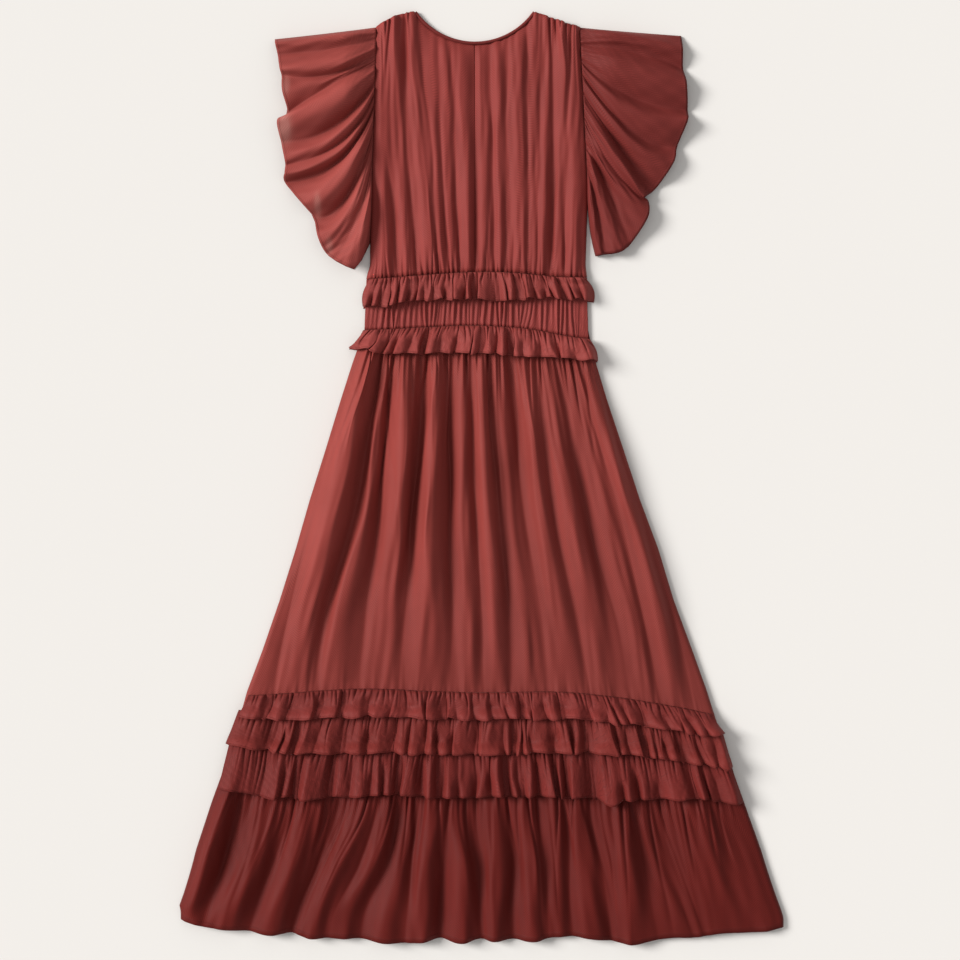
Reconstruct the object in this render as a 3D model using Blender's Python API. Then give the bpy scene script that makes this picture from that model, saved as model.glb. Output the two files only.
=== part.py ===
"""A tiered, ruffled dress laid flat on a surface, face up.

Every piece of cloth is a wall with real folds. Sizes are in millimetres and become metres when a
mesh is made. A point of the cloth has a place across (x, from the middle of the hem), a place down
(from the neck point to the hem) and a height above the surface. The hidden side lies flat, on the
frills that are sewn to its outside, and the side that shows lies on it in folds.
"""

import bpy
import numpy as np

NAME = "herringbone_dress"

# Cloth
WALL = 1.2
GAP = 0.3
STEP = WALL + GAP
STEEPEST = 2.2
NARROWEST = 0.5

# Seams are smoothed over this many millimetres to each side
SMOOTHING = (-30.0, -15.0, 0.0, 15.0, 30.0)

# The whole dress
LENGTH = 1300.0
MIDDLE = 2.8
SEAM_X = -12.1

# Neckline: an arc between the two neck points
NECK_HALF_WIDTH = 81.0
NECK_DEPTH = 42.0
BINDING_WIDTH = 4.0
BINDING_HEIGHT = 1.8

# How high the folds stand
BODICE_FOLD = 8.0
WAIST_FOLD = 2.2
SKIRT_FOLD = 12.0
HEM_FOLD = 13.0
SLEEVE_FOLD = 14.0
SEWN_FOLD = 1.7
SEAM_FOLD = 0.1
SIDE_RUN = 24.0
SLOPED_WALL = 1.3 * WALL

# Frills: how far each is tucked under the one above, how much of a flute stands at the seam, how far
# its gaps draw up at the free edge, and how high the flutes stand
TUCKED = 8.0
SEAM_GATHER = 0.12
DRAWN_UP = 3.0
WAIST_FLUTE = 7.0
TIER_FLUTES = (8.0, 9.0, 10.0)

# Sleeves: rows from the armhole to the hem, and the lines of the fan that the layer below keeps
SLEEVE_ROWS = (0.0, 0.12, 0.3, 0.5, 0.75, 1.0)
UNDER_LINES = (12, 9, 5, 3, 0)

# Columns
FOLD_PARTS = 2
FLUTE_PLACES = (0.0, 0.2, 0.5, 0.8)
FLUTE_SHARES = (0.0, 0.75, 1.0, 0.8)
BINDING_COLUMNS = 25
FLAT_COLUMNS = 22
FLAT_FRILL_COLUMNS = 8

CLOTH_RED = (0.205, 0.031, 0.028, 1.0)
BINDING_RED = (0.17, 0.025, 0.022, 1.0)


def table(columns, rows):
    """A table as a dict of arrays, one for each named column."""
    return dict(zip(columns.split(), np.array(rows, dtype=float).T))


# Sides of the body, from the shoulder to the hem
SIDES = table("down left right", [
    (22, -150, 135),
    (240, -157, 146),
    (355, -158, 142),
    (370, -163, 144),
    (445, -166, 146),
    (489, -182, 156),
    (542, -199, 172),
    (611, -220, 195),
    (681, -242, 218),
    (751, -262, 244),
    (821, -284, 265),
    (891, -308, 291),
    (947, -329, 311),
    (1027, -351, 336),
    (1100, -378, 362),
    (1170, -401, 387),
    (1240, -418, 408),
    (1262, -423.8, 415),
    (1275, -422, 418.2),
])

# Shoulder edges, from the neck point outwards
SHOULDERS = table("across down", [
    (-150, 22.3), (-144, 18), (-132, 11), (-117, 4.5), (-92.6, 0),
    (69.4, 0), (82, 4.2), (100, 11), (117, 18), (135, 22.3),
])

# Seams and free edges that cross the dress: how far down each is at a place across
WAIST_TOP = table("across down", [(-153, 374), (-101, 369), (-13, 363), (49, 364), (106, 372), (141, 371)])
WAIST_FOOT = table("across down", [(-165, 445), (-76, 440), (-13, 437), (24, 440), (73, 442), (111, 453), (146, 458)])
UPPER_EDGE = table("across down", [(-168, 416), (-144, 411), (-109, 406), (-38, 402), (13, 407), (61, 402), (119, 400), (156, 408)])
LOWER_EDGE = table("across down", [(-188, 468), (-160, 477), (-101, 480), (-26, 476), (24, 480), (76, 483), (108, 486), (159, 490)])
TIER_1_SEAM = table("across down", [(-327, 953), (-272, 950), (-217, 945), (-148, 943), (-79, 947), (-5, 949), (109, 947), (195, 956), (252, 966), (297, 973), (329, 983)])
TIER_1_EDGE = table("across down", [(-341, 982), (-289, 988), (-245, 987), (-173, 980), (-51, 987), (106, 985), (172, 989), (228, 997), (280, 1004), (309, 1009), (336, 1008)])
TIER_2_EDGE = table("across down", [(-359, 1019), (-305, 1030), (-261, 1034), (-135, 1033), (-5, 1035), (137, 1032), (228, 1037), (263, 1044), (340, 1052)])
TIER_3_EDGE = table("across down", [(-369, 1082), (-283, 1097), (-173, 1095), (-121, 1088), (-79, 1096), (115, 1093), (165, 1100), (297, 1096), (357, 1104)])

# Folds: each row is a ridge or a valley, with its place across and its share of the fold's height
# at five stations from the top of the panel to its foot
FOLD = "x1 x2 x3 x4 x5 z1 z2 z3 z4 z5"
BODICE_STATIONS = (20, 105, 190, 280, 368)
BODICE_LEFT = table(FOLD, [
    (-142, -141, -144, -137, -131, 0.7, 0.5, 0.4, 0.6, 0.7),
    (-136, -134, -136, -127, -121, 0.0, 0.3, 0.3, 0.0, 0.1),
    (-129, -122, -116, -110, -107, 0.9, 0.8, 0.4, 0.7, 0.8),
    (-110, -109, -106, -99, -93, 0.0, 0.0, 0.3, 0.2, 0.2),
    (-102, -99, -88, -77, -70, 0.9, 0.8, 0.7, 0.9, 0.9),
    (-92, -86, -73, -69, -61, 0.3, 0.3, 0.5, 0.5, 0.3),
    (-78, -72, -67, -63, -56, 0.4, 0.5, 0.6, 0.7, 0.7),
    (-66, -62, -59, -55, -48, 0.3, 0.3, 0.3, 0.2, 0.2),
    (-56, -51, -50, -48, -41, 0.6, 0.6, 0.5, 0.5, 0.6),
    (-47, -43, -40, -37, -33, 0.3, 0.3, 0.1, 0.0, 0.0),
    (-32, -30, -24, -22, -21, 0.6, 0.6, 0.7, 0.8, 0.8),
])
BODICE_RIGHT = table(FOLD, [
    (-2, -2, 2, 0, -1, 0.4, 0.4, 0.5, 0.6, 0.6),
    (9, 10, 12, 14, 15, 0.1, 0.1, 0.1, 0.2, 0.2),
    (22, 22, 22, 22, 22, 0.7, 0.7, 0.6, 0.6, 0.6),
    (30, 30, 31, 31, 31, 0.4, 0.3, 0.3, 0.2, 0.2),
    (50, 52, 52, 54, 53, 0.6, 0.8, 0.8, 0.7, 0.7),
    (60, 61, 61, 62, 61, 0.3, 0.3, 0.4, 0.4, 0.4),
    (70, 71, 71, 70, 69, 0.5, 0.5, 0.5, 0.6, 0.6),
    (79, 80, 78, 76, 75, 0.3, 0.3, 0.4, 0.5, 0.4),
    (87, 88, 86, 83, 81, 0.5, 0.5, 0.7, 0.9, 0.8),
    (94, 98, 97, 96, 91, 0.0, 0.3, 0.1, 0.0, 0.0),
    (107, 111, 108, 105, 102, 0.9, 0.8, 0.6, 0.5, 0.6),
    (117, 120, 117, 114, 112, 0.0, 0.3, 0.5, 0.2, 0.2),
    (126, 128, 129, 124, 121, 0.7, 0.6, 0.6, 0.7, 0.7),
])
SKIRT_STATIONS = (445, 560, 700, 860, 1027)
SKIRT = table(FOLD, [
    (-153, -188, -236, -276, -312, 0.6, 0.6, 0.4, 0.1, 0.5),
    (-145, -176, -206, -245, -272, 0.7, 1.0, 1.0, 0.8, 0.7),
    (-134, -156, -180, -224, -244, 0.2, 0.0, 0.0, 0.1, 0.5),
    (-128, -145, -162, -203, -222, 0.6, 0.5, 0.5, 0.8, 0.7),
    (-121, -134, -147, -166, -184, 0.4, 0.1, 0.0, 0.1, 0.3),
    (-109, -113, -119, -134, -146, 0.7, 1.0, 0.9, 0.6, 0.7),
    (-80, -88, -98, -110, -126, 0.2, 0.0, 0.0, 0.3, 0.3),
    (-63, -66, -73, -76, -90, 0.6, 0.8, 1.0, 0.9, 0.7),
    (-47, -48, -48, -44, -52, 0.1, 0.0, 0.0, 0.3, 0.3),
    (-30, -28, -27, -20, -22, 0.6, 0.7, 0.7, 0.7, 0.7),
    (-20, -17, -11, -2, 0, 0.3, 0.3, 0.3, 0.3, 0.3),
    (-6, -2, 6, 16, 20, 0.8, 0.9, 1.0, 0.8, 0.7),
    (7, 11, 23, 37, 42, 0.2, 0.2, 0.2, 0.1, 0.3),
    (17, 24, 37, 60, 66, 0.5, 0.5, 0.4, 0.5, 0.7),
    (34, 45, 58, 83, 95, 0.1, 0.0, 0.1, 0.3, 0.3),
    (60, 68, 84, 112, 130, 0.7, 0.9, 0.8, 0.7, 0.7),
    (71, 80, 98, 131, 150, 0.4, 0.4, 0.3, 0.3, 0.3),
    (83, 96, 121, 152, 176, 0.6, 0.7, 0.9, 0.6, 0.7),
    (100, 120, 147, 190, 212, 0.3, 0.3, 0.0, 0.2, 0.3),
    (116, 141, 172, 212, 240, 0.5, 0.5, 0.6, 0.7, 0.7),
    (124, 152, 192, 228, 262, 0.4, 0.4, 0.4, 0.4, 0.3),
    (134, 166, 208, 250, 286, 0.6, 0.7, 0.7, 0.9, 0.7),
    (140, 176, 224, 274, 310, 0.5, 0.5, 0.4, 0.1, 0.3),
])
HEM_STATIONS = (1027, 1121, 1190, 1261, 1290)
HEM = table(FOLD + " end", [
    (-336, -366, -393, -412, -415, 0.6, 1.0, 1.0, 0.7, 0.5, 1268),
    (-322, -343, -362, -386, -393, 0.3, 0.1, 0.0, 0.3, 0.5, 1274),
    (-288, -300, -322, -351, -360, 0.6, 0.9, 1.0, 1.0, 0.8, 1279),
    (-262, -273, -294, -320, -327, 0.4, 0.5, 0.3, 0.2, 0.2, 1281),
    (-240, -251, -270, -291, -298, 0.7, 1.0, 1.0, 1.0, 0.9, 1287),
    (-196, -207, -232, -260, -268, 0.2, 0.1, 0.1, 0.1, 0.2, 1283),
    (-160, -167, -203, -232, -240, 0.7, 0.9, 0.9, 0.8, 0.8, 1292),
    (-146, -150, -174, -210, -216, 0.5, 0.5, 0.3, 0.4, 0.4, 1290),
    (-130, -135, -158, -192, -196, 0.7, 0.9, 0.8, 0.6, 0.7, 1292),
    (-112, -118, -134, -167, -172, 0.2, 0.1, 0.1, 0.1, 0.2, 1291),
    (-103, -107, -117, -131, -136, 0.4, 0.4, 0.5, 0.9, 0.9, 1298),
    (-92, -96, -101, -107, -109, 0.1, 0.1, 0.1, 0.5, 0.5, 1297),
    (-66, -70, -81, -84, -86, 0.8, 1.0, 0.9, 0.9, 0.9, 1297),
    (-50, -53, -56, -58, -60, 0.5, 0.5, 0.1, 0.0, 0.1, 1290),
    (-35, -40, -31, -30, -32, 0.6, 0.6, 1.0, 0.9, 0.9, 1299),
    (-13, -16, -7, -5, -4, 0.1, 0.1, 0.1, 0.2, 0.2, 1291),
    (14, 18, 20, 16, 15, 0.8, 0.7, 0.8, 0.8, 0.8, 1296),
    (31, 33, 42, 40, 40, 0.3, 0.3, 0.1, 0.1, 0.1, 1292),
    (56, 61, 69, 69, 71, 0.7, 0.7, 0.9, 0.9, 0.9, 1296),
    (75, 79, 87, 90, 92, 0.3, 0.2, 0.3, 0.4, 0.4, 1290),
    (95, 100, 102, 104, 106, 0.7, 0.7, 0.6, 0.6, 0.6, 1289),
    (110, 115, 118, 121, 124, 0.3, 0.2, 0.2, 0.2, 0.3, 1288),
    (126, 131, 139, 147, 152, 0.6, 0.7, 0.7, 0.8, 0.8, 1292),
    (141, 147, 164, 174, 178, 0.3, 0.2, 0.3, 0.2, 0.2, 1295),
    (186, 194, 201, 205, 208, 0.8, 0.9, 1.0, 0.9, 0.9, 1300),
    (204, 212, 225, 237, 243, 0.3, 0.2, 0.2, 0.3, 0.3, 1293),
    (215, 224, 240, 260, 268, 0.5, 0.5, 0.4, 0.5, 0.5, 1290),
    (228, 238, 256, 280, 290, 0.2, 0.2, 0.3, 0.4, 0.4, 1291),
    (280, 299, 312, 324, 330, 0.8, 0.9, 0.8, 0.6, 0.6, 1284),
    (318, 338, 358, 384, 392, 0.2, 0.2, 0.3, 0.4, 0.4, 1282),
])
HEM_CORNERS = (1265.0, 1276.0)

# Gathers: each row is a pucker's left end and the share of the height that it stands
PUCKER = "across height"
WAIST_PUCKERS = table(PUCKER, [
    (-151, 0.7), (-140, 0.9), (-126, 1.0), (-110, 0.8), (-93, 0.9), (-79, 0.7), (-68, 0.8), (-56, 0.9),
    (-44, 0.9), (-29, 0.8), (-17, 1.0), (-3, 0.9), (9, 1.0), (26, 0.8), (40, 0.7), (50, 0.9),
    (62, 0.9), (75, 1.0), (93, 0.8), (104, 0.9), (117, 0.9), (131, 0.7),
])
UPPER_FLUTES = table(PUCKER, [
    (-157, 0.8), (-146, 0.7), (-133, 0.9), (-120, 1.0), (-108, 0.6), (-95, 0.8), (-83, 0.7), (-70, 0.9),
    (-56, 0.8), (-42, 1.0), (-27, 0.9), (-12, 1.0), (20, 0.6), (33, 0.8), (46, 0.7), (60, 1.0),
    (73, 0.8), (86, 0.7), (99, 0.9), (113, 0.8), (126, 0.7), (140, 0.9),
])
LOWER_FLUTES = table(PUCKER, [
    (-172, 0.8), (-159, 1.0), (-142, 0.8), (-126, 0.9), (-107, 1.0), (-87, 1.0), (-61, 0.8), (-42, 1.0),
    (-19, 0.7), (-5, 0.9), (16, 1.0), (37, 0.8), (55, 0.9), (79, 1.0), (107, 0.8), (130, 0.9),
])
TIER_1_FLUTES = table(PUCKER, [
    (-320, 0.8), (-304, 1.0), (-278, 0.7), (-254, 0.8), (-231, 0.9), (-201, 1.0), (-160, 0.8), (-131, 0.9),
    (-106, 1.0), (-80, 0.8), (-54, 0.6), (-36, 0.7), (-12, 0.8), (13, 0.7), (34, 0.9), (54, 0.8),
    (68, 0.9), (90, 1.0), (111, 1.0), (152, 0.8), (174, 0.7), (188, 0.8), (204, 0.9), (226, 1.0),
    (260, 0.7), (278, 0.8), (296, 0.9), (312, 0.8),
])
TIER_2_FLUTES = table(PUCKER, [
    (-340, 1.0), (-301, 0.7), (-284, 0.8), (-261, 0.9), (-237, 0.8), (-212, 0.7), (-192, 1.0), (-163, 0.9),
    (-127, 0.8), (-106, 0.9), (-82, 0.8), (-65, 0.9), (-44, 0.8), (-10, 1.0), (30, 0.6), (42, 0.7),
    (54, 0.8), (69, 1.0), (98, 1.0), (124, 0.6), (143, 1.0), (189, 0.7), (204, 0.8), (227, 0.7),
    (241, 0.9), (258, 0.8), (277, 0.8), (305, 0.9), (325, 0.7),
])
TIER_3_FLUTES = table(PUCKER, [
    (-352, 0.7), (-334, 0.9), (-304, 0.8), (-282, 0.7), (-262, 1.0), (-214, 0.8), (-187, 1.0), (-159, 0.8),
    (-142, 0.8), (-120, 1.0), (-83, 0.8), (-62, 0.9), (-36, 1.0), (-11, 0.8), (12, 0.9), (33, 0.8),
    (55, 0.9), (76, 1.0), (104, 0.7), (118, 1.0), (154, 0.9), (196, 1.0), (218, 0.9), (246, 1.0),
    (298, 0.8), (316, 0.7), (330, 0.8),
])

# Sleeves: each row is a ridge or valley from the armhole to the hem, from the top fold to the underarm
FAN = "arm mid_x mid hem_x hem z_arm z_mid z_hem"
SLEEVE_LEFT = table(FAN, [
    (22.6, -221, 31, -291, 39, 0.0, 0.0, 0.0),
    (39, -220, 50, -288, 59, 0.3, 0.6, 0.7),
    (64, -214, 75, -283, 81, 0.1, 0.2, 0.3),
    (73, -224, 110, -279, 134, 0.3, 0.8, 0.9),
    (79, -221, 128, -276, 146, 0.0, 0.1, 0.3),
    (89, -216, 154, -286, 162, 0.3, 0.6, 0.5),
    (99, -219, 169, -280, 188, 0.0, 0.2, 0.3),
    (107, -216, 183, -277, 211, 0.3, 0.7, 0.9),
    (114, -212, 193, -277, 236, 0.0, 0.0, 0.1),
    (128, -208, 213, -266, 255, 0.3, 0.9, 0.7),
    (140, -202, 236, -245, 270, 0.1, 0.1, 0.2),
    (163, -190, 256, -230, 318, 0.3, 0.8, 0.6),
    (186, -183, 270, -209, 348, 0.2, 0.5, 0.3),
    (210, -174, 282, -181, 357, 0.2, 0.7, 0.8),
    (238, -161.5, 282, -162, 321, 0.0, 0.0, 0.0),
])
SLEEVE_RIGHT = table(FAN, [
    (22.6, 206, 28, 277, 35, 0.0, 0.0, 0.0),
    (35, 207, 42, 278, 57, 0.3, 0.6, 0.8),
    (47, 209, 57, 279, 81, 0.1, 0.2, 0.2),
    (59, 210, 81, 281, 101, 0.3, 0.7, 0.9),
    (71, 208, 115, 283, 134, 0.0, 0.1, 0.1),
    (82, 209, 133, 286, 147, 0.3, 0.8, 1.0),
    (94, 207, 158, 270, 187, 0.1, 0.2, 0.1),
    (106, 206, 180, 259, 214, 0.3, 0.8, 0.9),
    (126, 198, 196, 239, 246, 0.0, 0.1, 0.1),
    (144, 192, 209, 231, 251, 0.3, 0.6, 0.6),
    (158, 187, 224, 222, 259, 0.2, 0.5, 0.5),
    (172, 184, 246, 228, 276, 0.3, 0.7, 0.8),
    (184, 179, 266, 214, 318, 0.3, 0.7, 0.8),
    (198, 170, 272, 187, 337, 0.0, 0.1, 0.2),
    (216, 160, 278, 167, 339, 0.2, 0.6, 0.7),
    (239, 150.5, 286, 158.5, 340, 0.0, 0.0, 0.0),
])


def ease(t):
    """0 to 1 with level ends: half a turn of a cosine."""
    return (1.0 - np.cos(np.pi * np.clip(t, 0.0, 1.0))) / 2.0


def level(curve, offset=0.0):
    """How far down a seam or edge is at any place across: its table, smoothed, and moved down by an offset."""
    def line(x):
        near = [np.interp(x + shift, curve["across"], curve["down"]) for shift in SMOOTHING]
        return sum(near) / len(near) + offset
    return line


def straight(down):
    """A row at the same distance down all the way across."""
    return lambda x: np.full_like(x, down)


def between(upper, lower, share):
    """A row that lies a share of the way from one row to another."""
    return lambda x: upper(x) * (1.0 - share) + lower(x) * share


def left_side(down):
    return np.interp(down, SIDES["down"], SIDES["left"])


def right_side(down):
    return np.interp(down, SIDES["down"], SIDES["right"])


def neck_arc(x, outwards):
    """The neckline's circle, or one a little outside it, as how far down it is across."""
    radius = (NECK_HALF_WIDTH ** 2 + NECK_DEPTH ** 2) / (2.0 * NECK_DEPTH)
    reach = np.clip((radius + outwards) ** 2 - (x - SEAM_X) ** 2, 0.0, None)
    return NECK_DEPTH - radius + np.sqrt(reach)


def bodice_top(x):
    """The shoulder edge, cut out by the neckline and its binding."""
    shoulder = np.interp(x, SHOULDERS["across"], SHOULDERS["down"])
    return np.maximum(shoulder, neck_arc(x, BINDING_WIDTH + GAP))


def metres(x, down, height):
    """Places on the dress as points of a mesh."""
    return np.stack([x + MIDDLE, LENGTH / 2.0 - down, height], axis=-1).reshape(-1, 3) * 0.001


def make_object(name, points, triangles, colour):
    mesh = bpy.data.meshes.new(name)
    mesh.from_pydata(points.tolist(), [], triangles.tolist())
    mesh.shade_smooth()
    material = bpy.data.materials.new(name)
    material.use_nodes = True
    shader = material.node_tree.nodes["Principled BSDF"]
    shader.inputs["Base Color"].default_value = colour
    shader.inputs["Roughness"].default_value = 0.62
    shader.inputs["Metallic"].default_value = 0.0
    mesh.materials.append(material)
    made = bpy.data.objects.new(name, mesh)
    bpy.data.collections[NAME].objects.link(made)
    return made


def grid_faces(rows, columns, first=0):
    """Two triangles for each cell of a grid of points, facing up where x grows and down grows."""
    r, c = np.meshgrid(np.arange(rows - 1), np.arange(columns - 1), indexing="ij")
    a = (first + r * columns + c).ravel()
    b, d, e = a + 1, a + columns, a + columns + 1
    return np.concatenate([np.stack([a, d, e], 1), np.stack([a, e, b], 1)])


def rim_faces(rows, columns):
    """The narrow faces all round a wall, between its upper grid and its lower grid."""
    top = np.arange(columns)
    right = np.arange(1, rows) * columns + columns - 1
    bottom = (rows - 1) * columns + np.arange(columns - 2, -1, -1)
    left = np.arange(rows - 2, -1, -1) * columns
    loop = np.concatenate([top, right, bottom, left])
    a, b = loop[:-1], loop[1:]
    under = rows * columns
    return np.concatenate([np.stack([a, b, b + under], 1), np.stack([a, b + under, a + under], 1)])


def upright_wall(x, height):
    """The wall's thickness measured upright, more on a slope so that the cloth keeps its thickness."""
    slope = np.gradient(height, axis=1) / np.maximum(np.gradient(x, axis=1), NARROWEST)
    return WALL * np.minimum(np.sqrt(1.0 + slope ** 2), STEEPEST)


def cloth(name, x, down, height, colour=CLOTH_RED):
    """A closed wall over a grid of points, with its lower face at the heights given."""
    rows, columns = x.shape
    lower = metres(x, down, height)
    upper = metres(x, down, height + upright_wall(x, height))
    top = grid_faces(rows, columns)
    underside = grid_faces(rows, columns, rows * columns)[:, ::-1]
    faces = np.concatenate([top, underside, rim_faces(rows, columns)])
    return make_object(name, np.concatenate([upper, lower]), faces, colour)


def fill_columns(x, height, parts):
    """Columns between neighbouring ridges and valleys, whose heights ease from one to the next."""
    t = np.arange(parts) / parts
    xs = x[:, :-1, None] * (1 - t) + x[:, 1:, None] * t
    zs = height[:, :-1, None] * (1 - ease(t)) + height[:, 1:, None] * ease(t)
    rows = len(x)
    xs = np.concatenate([xs.reshape(rows, -1), x[:, -1:]], axis=1)
    return xs, np.concatenate([zs.reshape(rows, -1), height[:, -1:]], axis=1)


def fold_lines(folds, stations, downs, letter):
    """Where the ridges and valleys are, or how high, at each row."""
    held = np.stack([folds[letter + str(n + 1)] for n in range(len(stations))])
    return np.stack([np.interp(downs, stations, line) for line in held.T], axis=1)


def edge_places(rows, side):
    """Where each row meets a side, which depends on how far down the row has come by there."""
    place = np.full(len(rows), SEAM_X)
    for _ in range(4):
        place = side(np.array([float(row[0](np.array(x))) for row, x in zip(rows, place)]))
    return place


def panel(folds, stations, rows, left, right, fold, tapered=(True, True)):
    """A folded panel's grid. Each row says where it runs, how high it is lifted, and its share of the folds."""
    downs = np.array([float(row[0](np.array(SEAM_X))) for row in rows])
    lifts = np.array([row[1] for row in rows])[:, None]
    shares = np.array([row[2] for row in rows])[:, None]
    edges = np.stack([edge_places(rows, left), edge_places(rows, right)], axis=1)
    x = fold_lines(folds, stations, downs, "x")
    z = fold_lines(folds, stations, downs, "z")
    x = np.concatenate([edges[:, :1], x, edges[:, 1:]], axis=1)
    ends = [np.zeros((len(rows), 1)) if side else np.full((len(rows), 1), SEAM_FOLD) for side in tapered]
    z = np.concatenate([ends[0], z, ends[1]], axis=1)
    x, z = fill_columns(x, z, FOLD_PARTS)
    for side, edge, sign in zip(tapered, edges.T, (1, -1)):
        if side:
            z = z * ease(sign * (x - edge[:, None]) / SIDE_RUN)
    down = np.stack([row[0](across) for row, across in zip(rows, x)])
    return x, down, lifts + STEP + fold * shares * z


def flat_panel(rows, left, right, columns=FLAT_COLUMNS):
    """A plain panel of the hidden side, at the heights its rows give."""
    t = np.linspace(0.0, 1.0, columns + 1)
    x = edge_places(rows, left)[:, None] * (1 - t) + edge_places(rows, right)[:, None] * t
    down = np.stack([row[0](across) for row, across in zip(rows, x)])
    height = np.array([row[1] for row in rows])[:, None] + np.zeros_like(x)
    return x, down, height


def frill(flutes, rows, ends, stand):
    """A gathered frill's grid. Flutes rise from low gaps, more and more towards the free edge."""
    gaps = np.append(flutes["across"], ends[3])
    gaps = np.insert(gaps, 0, ends[2])
    high = np.insert(flutes["height"], 0, 0.5)
    place = (gaps[:-1, None] + np.diff(gaps)[:, None] * np.array(FLUTE_PLACES)).ravel()
    share = (high[:, None] * np.array(FLUTE_SHARES)).ravel()
    place = np.append(place, gaps[-1])
    share = np.append(share, 0.0)
    share[0] = 0.0
    narrow = (place - ends[2]) / (ends[3] - ends[2]) * (ends[1] - ends[0]) + ends[0]
    xs, downs, heights = [], [], []
    for line, base, grown in rows:
        x = narrow * (1 - grown) + place * grown
        xs.append(x)
        downs.append(line(x) - DRAWN_UP * grown ** 2 * (1 - share))
        heights.append(base + stand * share * (SEAM_GATHER + (1 - SEAM_GATHER) * grown))
    return np.stack(xs), np.stack(downs), np.stack(heights)


def flat_frill(rows, ends, columns=FLAT_FRILL_COLUMNS):
    """A frill of the hidden side, pressed flat under the dress."""
    t = np.linspace(0.0, 1.0, columns + 1)
    xs, downs, heights = [], [], []
    for line, height, grown in rows:
        left = ends[0] * (1 - grown) + ends[2] * grown
        right = ends[1] * (1 - grown) + ends[3] * grown
        x = left * (1 - t) + right * t
        xs.append(x)
        downs.append(line(x))
        heights.append(np.full_like(x, height))
    return np.stack(xs), np.stack(downs), np.stack(heights)


def neck_binding(name, base, thickness):
    """A narrow band that follows the neckline's arc."""
    radius = (NECK_HALF_WIDTH ** 2 + NECK_DEPTH ** 2) / (2.0 * NECK_DEPTH)
    turn = np.arccos((radius - NECK_DEPTH) / radius)
    angle = np.linspace(-turn, turn, BINDING_COLUMNS)
    rings = np.array([[radius], [radius + BINDING_WIDTH]])
    x = SEAM_X + rings * np.sin(angle)
    down = NECK_DEPTH - radius + rings * np.cos(angle)
    lower = metres(x, down, np.full_like(x, base))
    upper = metres(x, down, np.full_like(x, base + thickness))
    top, rim = grid_faces(2, BINDING_COLUMNS), rim_faces(2, BINDING_COLUMNS)
    underside = grid_faces(2, BINDING_COLUMNS, 2 * BINDING_COLUMNS)[:, ::-1]
    faces = np.concatenate([top, underside, rim])
    make_object(name, np.concatenate([upper, lower]), faces, BINDING_RED)


def sleeve(name, fan, side, seam):
    """A flutter sleeve: a folded tube, with waves above and a flat layer below, open at both ends."""
    v = np.array(SLEEVE_ROWS)[:, None]
    near, middle, far = (1 - v) * (1 - 2 * v), 4 * v * (1 - v), v * (2 * v - 1)
    x = seam(fan["arm"]) * near + fan["mid_x"] * middle + fan["hem_x"] * far
    down = fan["arm"] * near + fan["mid"] * middle + fan["hem"] * far
    high = fan["z_arm"] * near + fan["z_mid"] * middle + fan["z_hem"] * far
    high = np.clip(high, 0.0, 1.1)
    x_top, z_top = fill_columns(x, STEP + SLEEVE_FOLD * high, FOLD_PARTS)
    d_top = fill_columns(down, down, FOLD_PARTS)[0]
    keep = np.array((len(fan["arm"]) - 1,) + UNDER_LINES)
    x_low, d_low = x[:, keep], down[:, keep]
    inset = WALL * side
    columns = x_top.shape[1] + len(keep)
    outer = (np.hstack([x_top, x_low]), np.hstack([d_top, d_low]), np.hstack([z_top + SLOPED_WALL, 0.0 * x_low]))
    x_in, d_in = outer[0].copy(), outer[1].copy()
    x_in[:, x_top.shape[1] - 1:x_top.shape[1] + 1] += inset
    d_in[:, [0, columns - 1]] += WALL
    inner = (x_in, d_in, np.hstack([z_top, WALL + 0.0 * x_low]))
    points = np.concatenate([metres(*outer), metres(*inner)])
    rows = len(v)
    r, c = np.meshgrid(np.arange(rows - 1), np.arange(columns), indexing="ij")
    a, b = (r * columns + c).ravel(), (r * columns + (c + 1) % columns).ravel()
    d, e = a + columns, b + columns
    skin = np.concatenate([np.stack([a, d, e], 1), np.stack([a, e, b], 1)])
    lining = skin[:, ::-1] + rows * columns
    ring = np.arange(columns)
    after = (ring + 1) % columns
    inside = rows * columns
    arm_end = np.concatenate([
        np.stack([ring, after, after + inside], 1), np.stack([ring, after + inside, ring + inside], 1)])
    hem_end = arm_end[:, ::-1] + (rows - 1) * columns
    faces = np.concatenate([skin, lining, arm_end, hem_end])
    if side > 0:
        faces = faces[:, ::-1]
    make_object(name, points, faces, CLOTH_RED)


def bodice():
    top = bodice_top
    foot = level(WAIST_TOP, -GAP)
    rows = [
        (top, 0.0, 0.5),
        (between(top, foot, 0.12), 0.0, 0.9),
        (between(top, foot, 0.3), 0.0, 0.9),
        (between(top, foot, 0.5), 0.0, 1.0),
        (between(top, foot, 0.72), 0.0, 1.0),
        (level(WAIST_TOP, -40), 0.0, 0.9),
        (level(WAIST_TOP, -14), 0.0, 0.6),
        (foot, STEP, 0.3),
    ]
    seam = GAP / 2.0
    left = panel(BODICE_LEFT, BODICE_STATIONS, rows, left_side, lambda d: SEAM_X - seam + 0 * d,
                 BODICE_FOLD, (True, False))
    right = panel(BODICE_RIGHT, BODICE_STATIONS, rows, lambda d: SEAM_X + seam + 0 * d, right_side,
                  BODICE_FOLD, (False, True))
    cloth("bodice_front_left", *left)
    cloth("bodice_front_right", *right)
    back = [(row[0], row[1]) for row in (rows[0], rows[2], rows[4], rows[6], rows[7])]
    cloth("bodice_back", *flat_panel(back, left_side, right_side, 32))
    neck_binding("neck_binding_front", STEP, BINDING_HEIGHT)
    neck_binding("neck_binding_back", 0.0, WALL)


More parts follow.
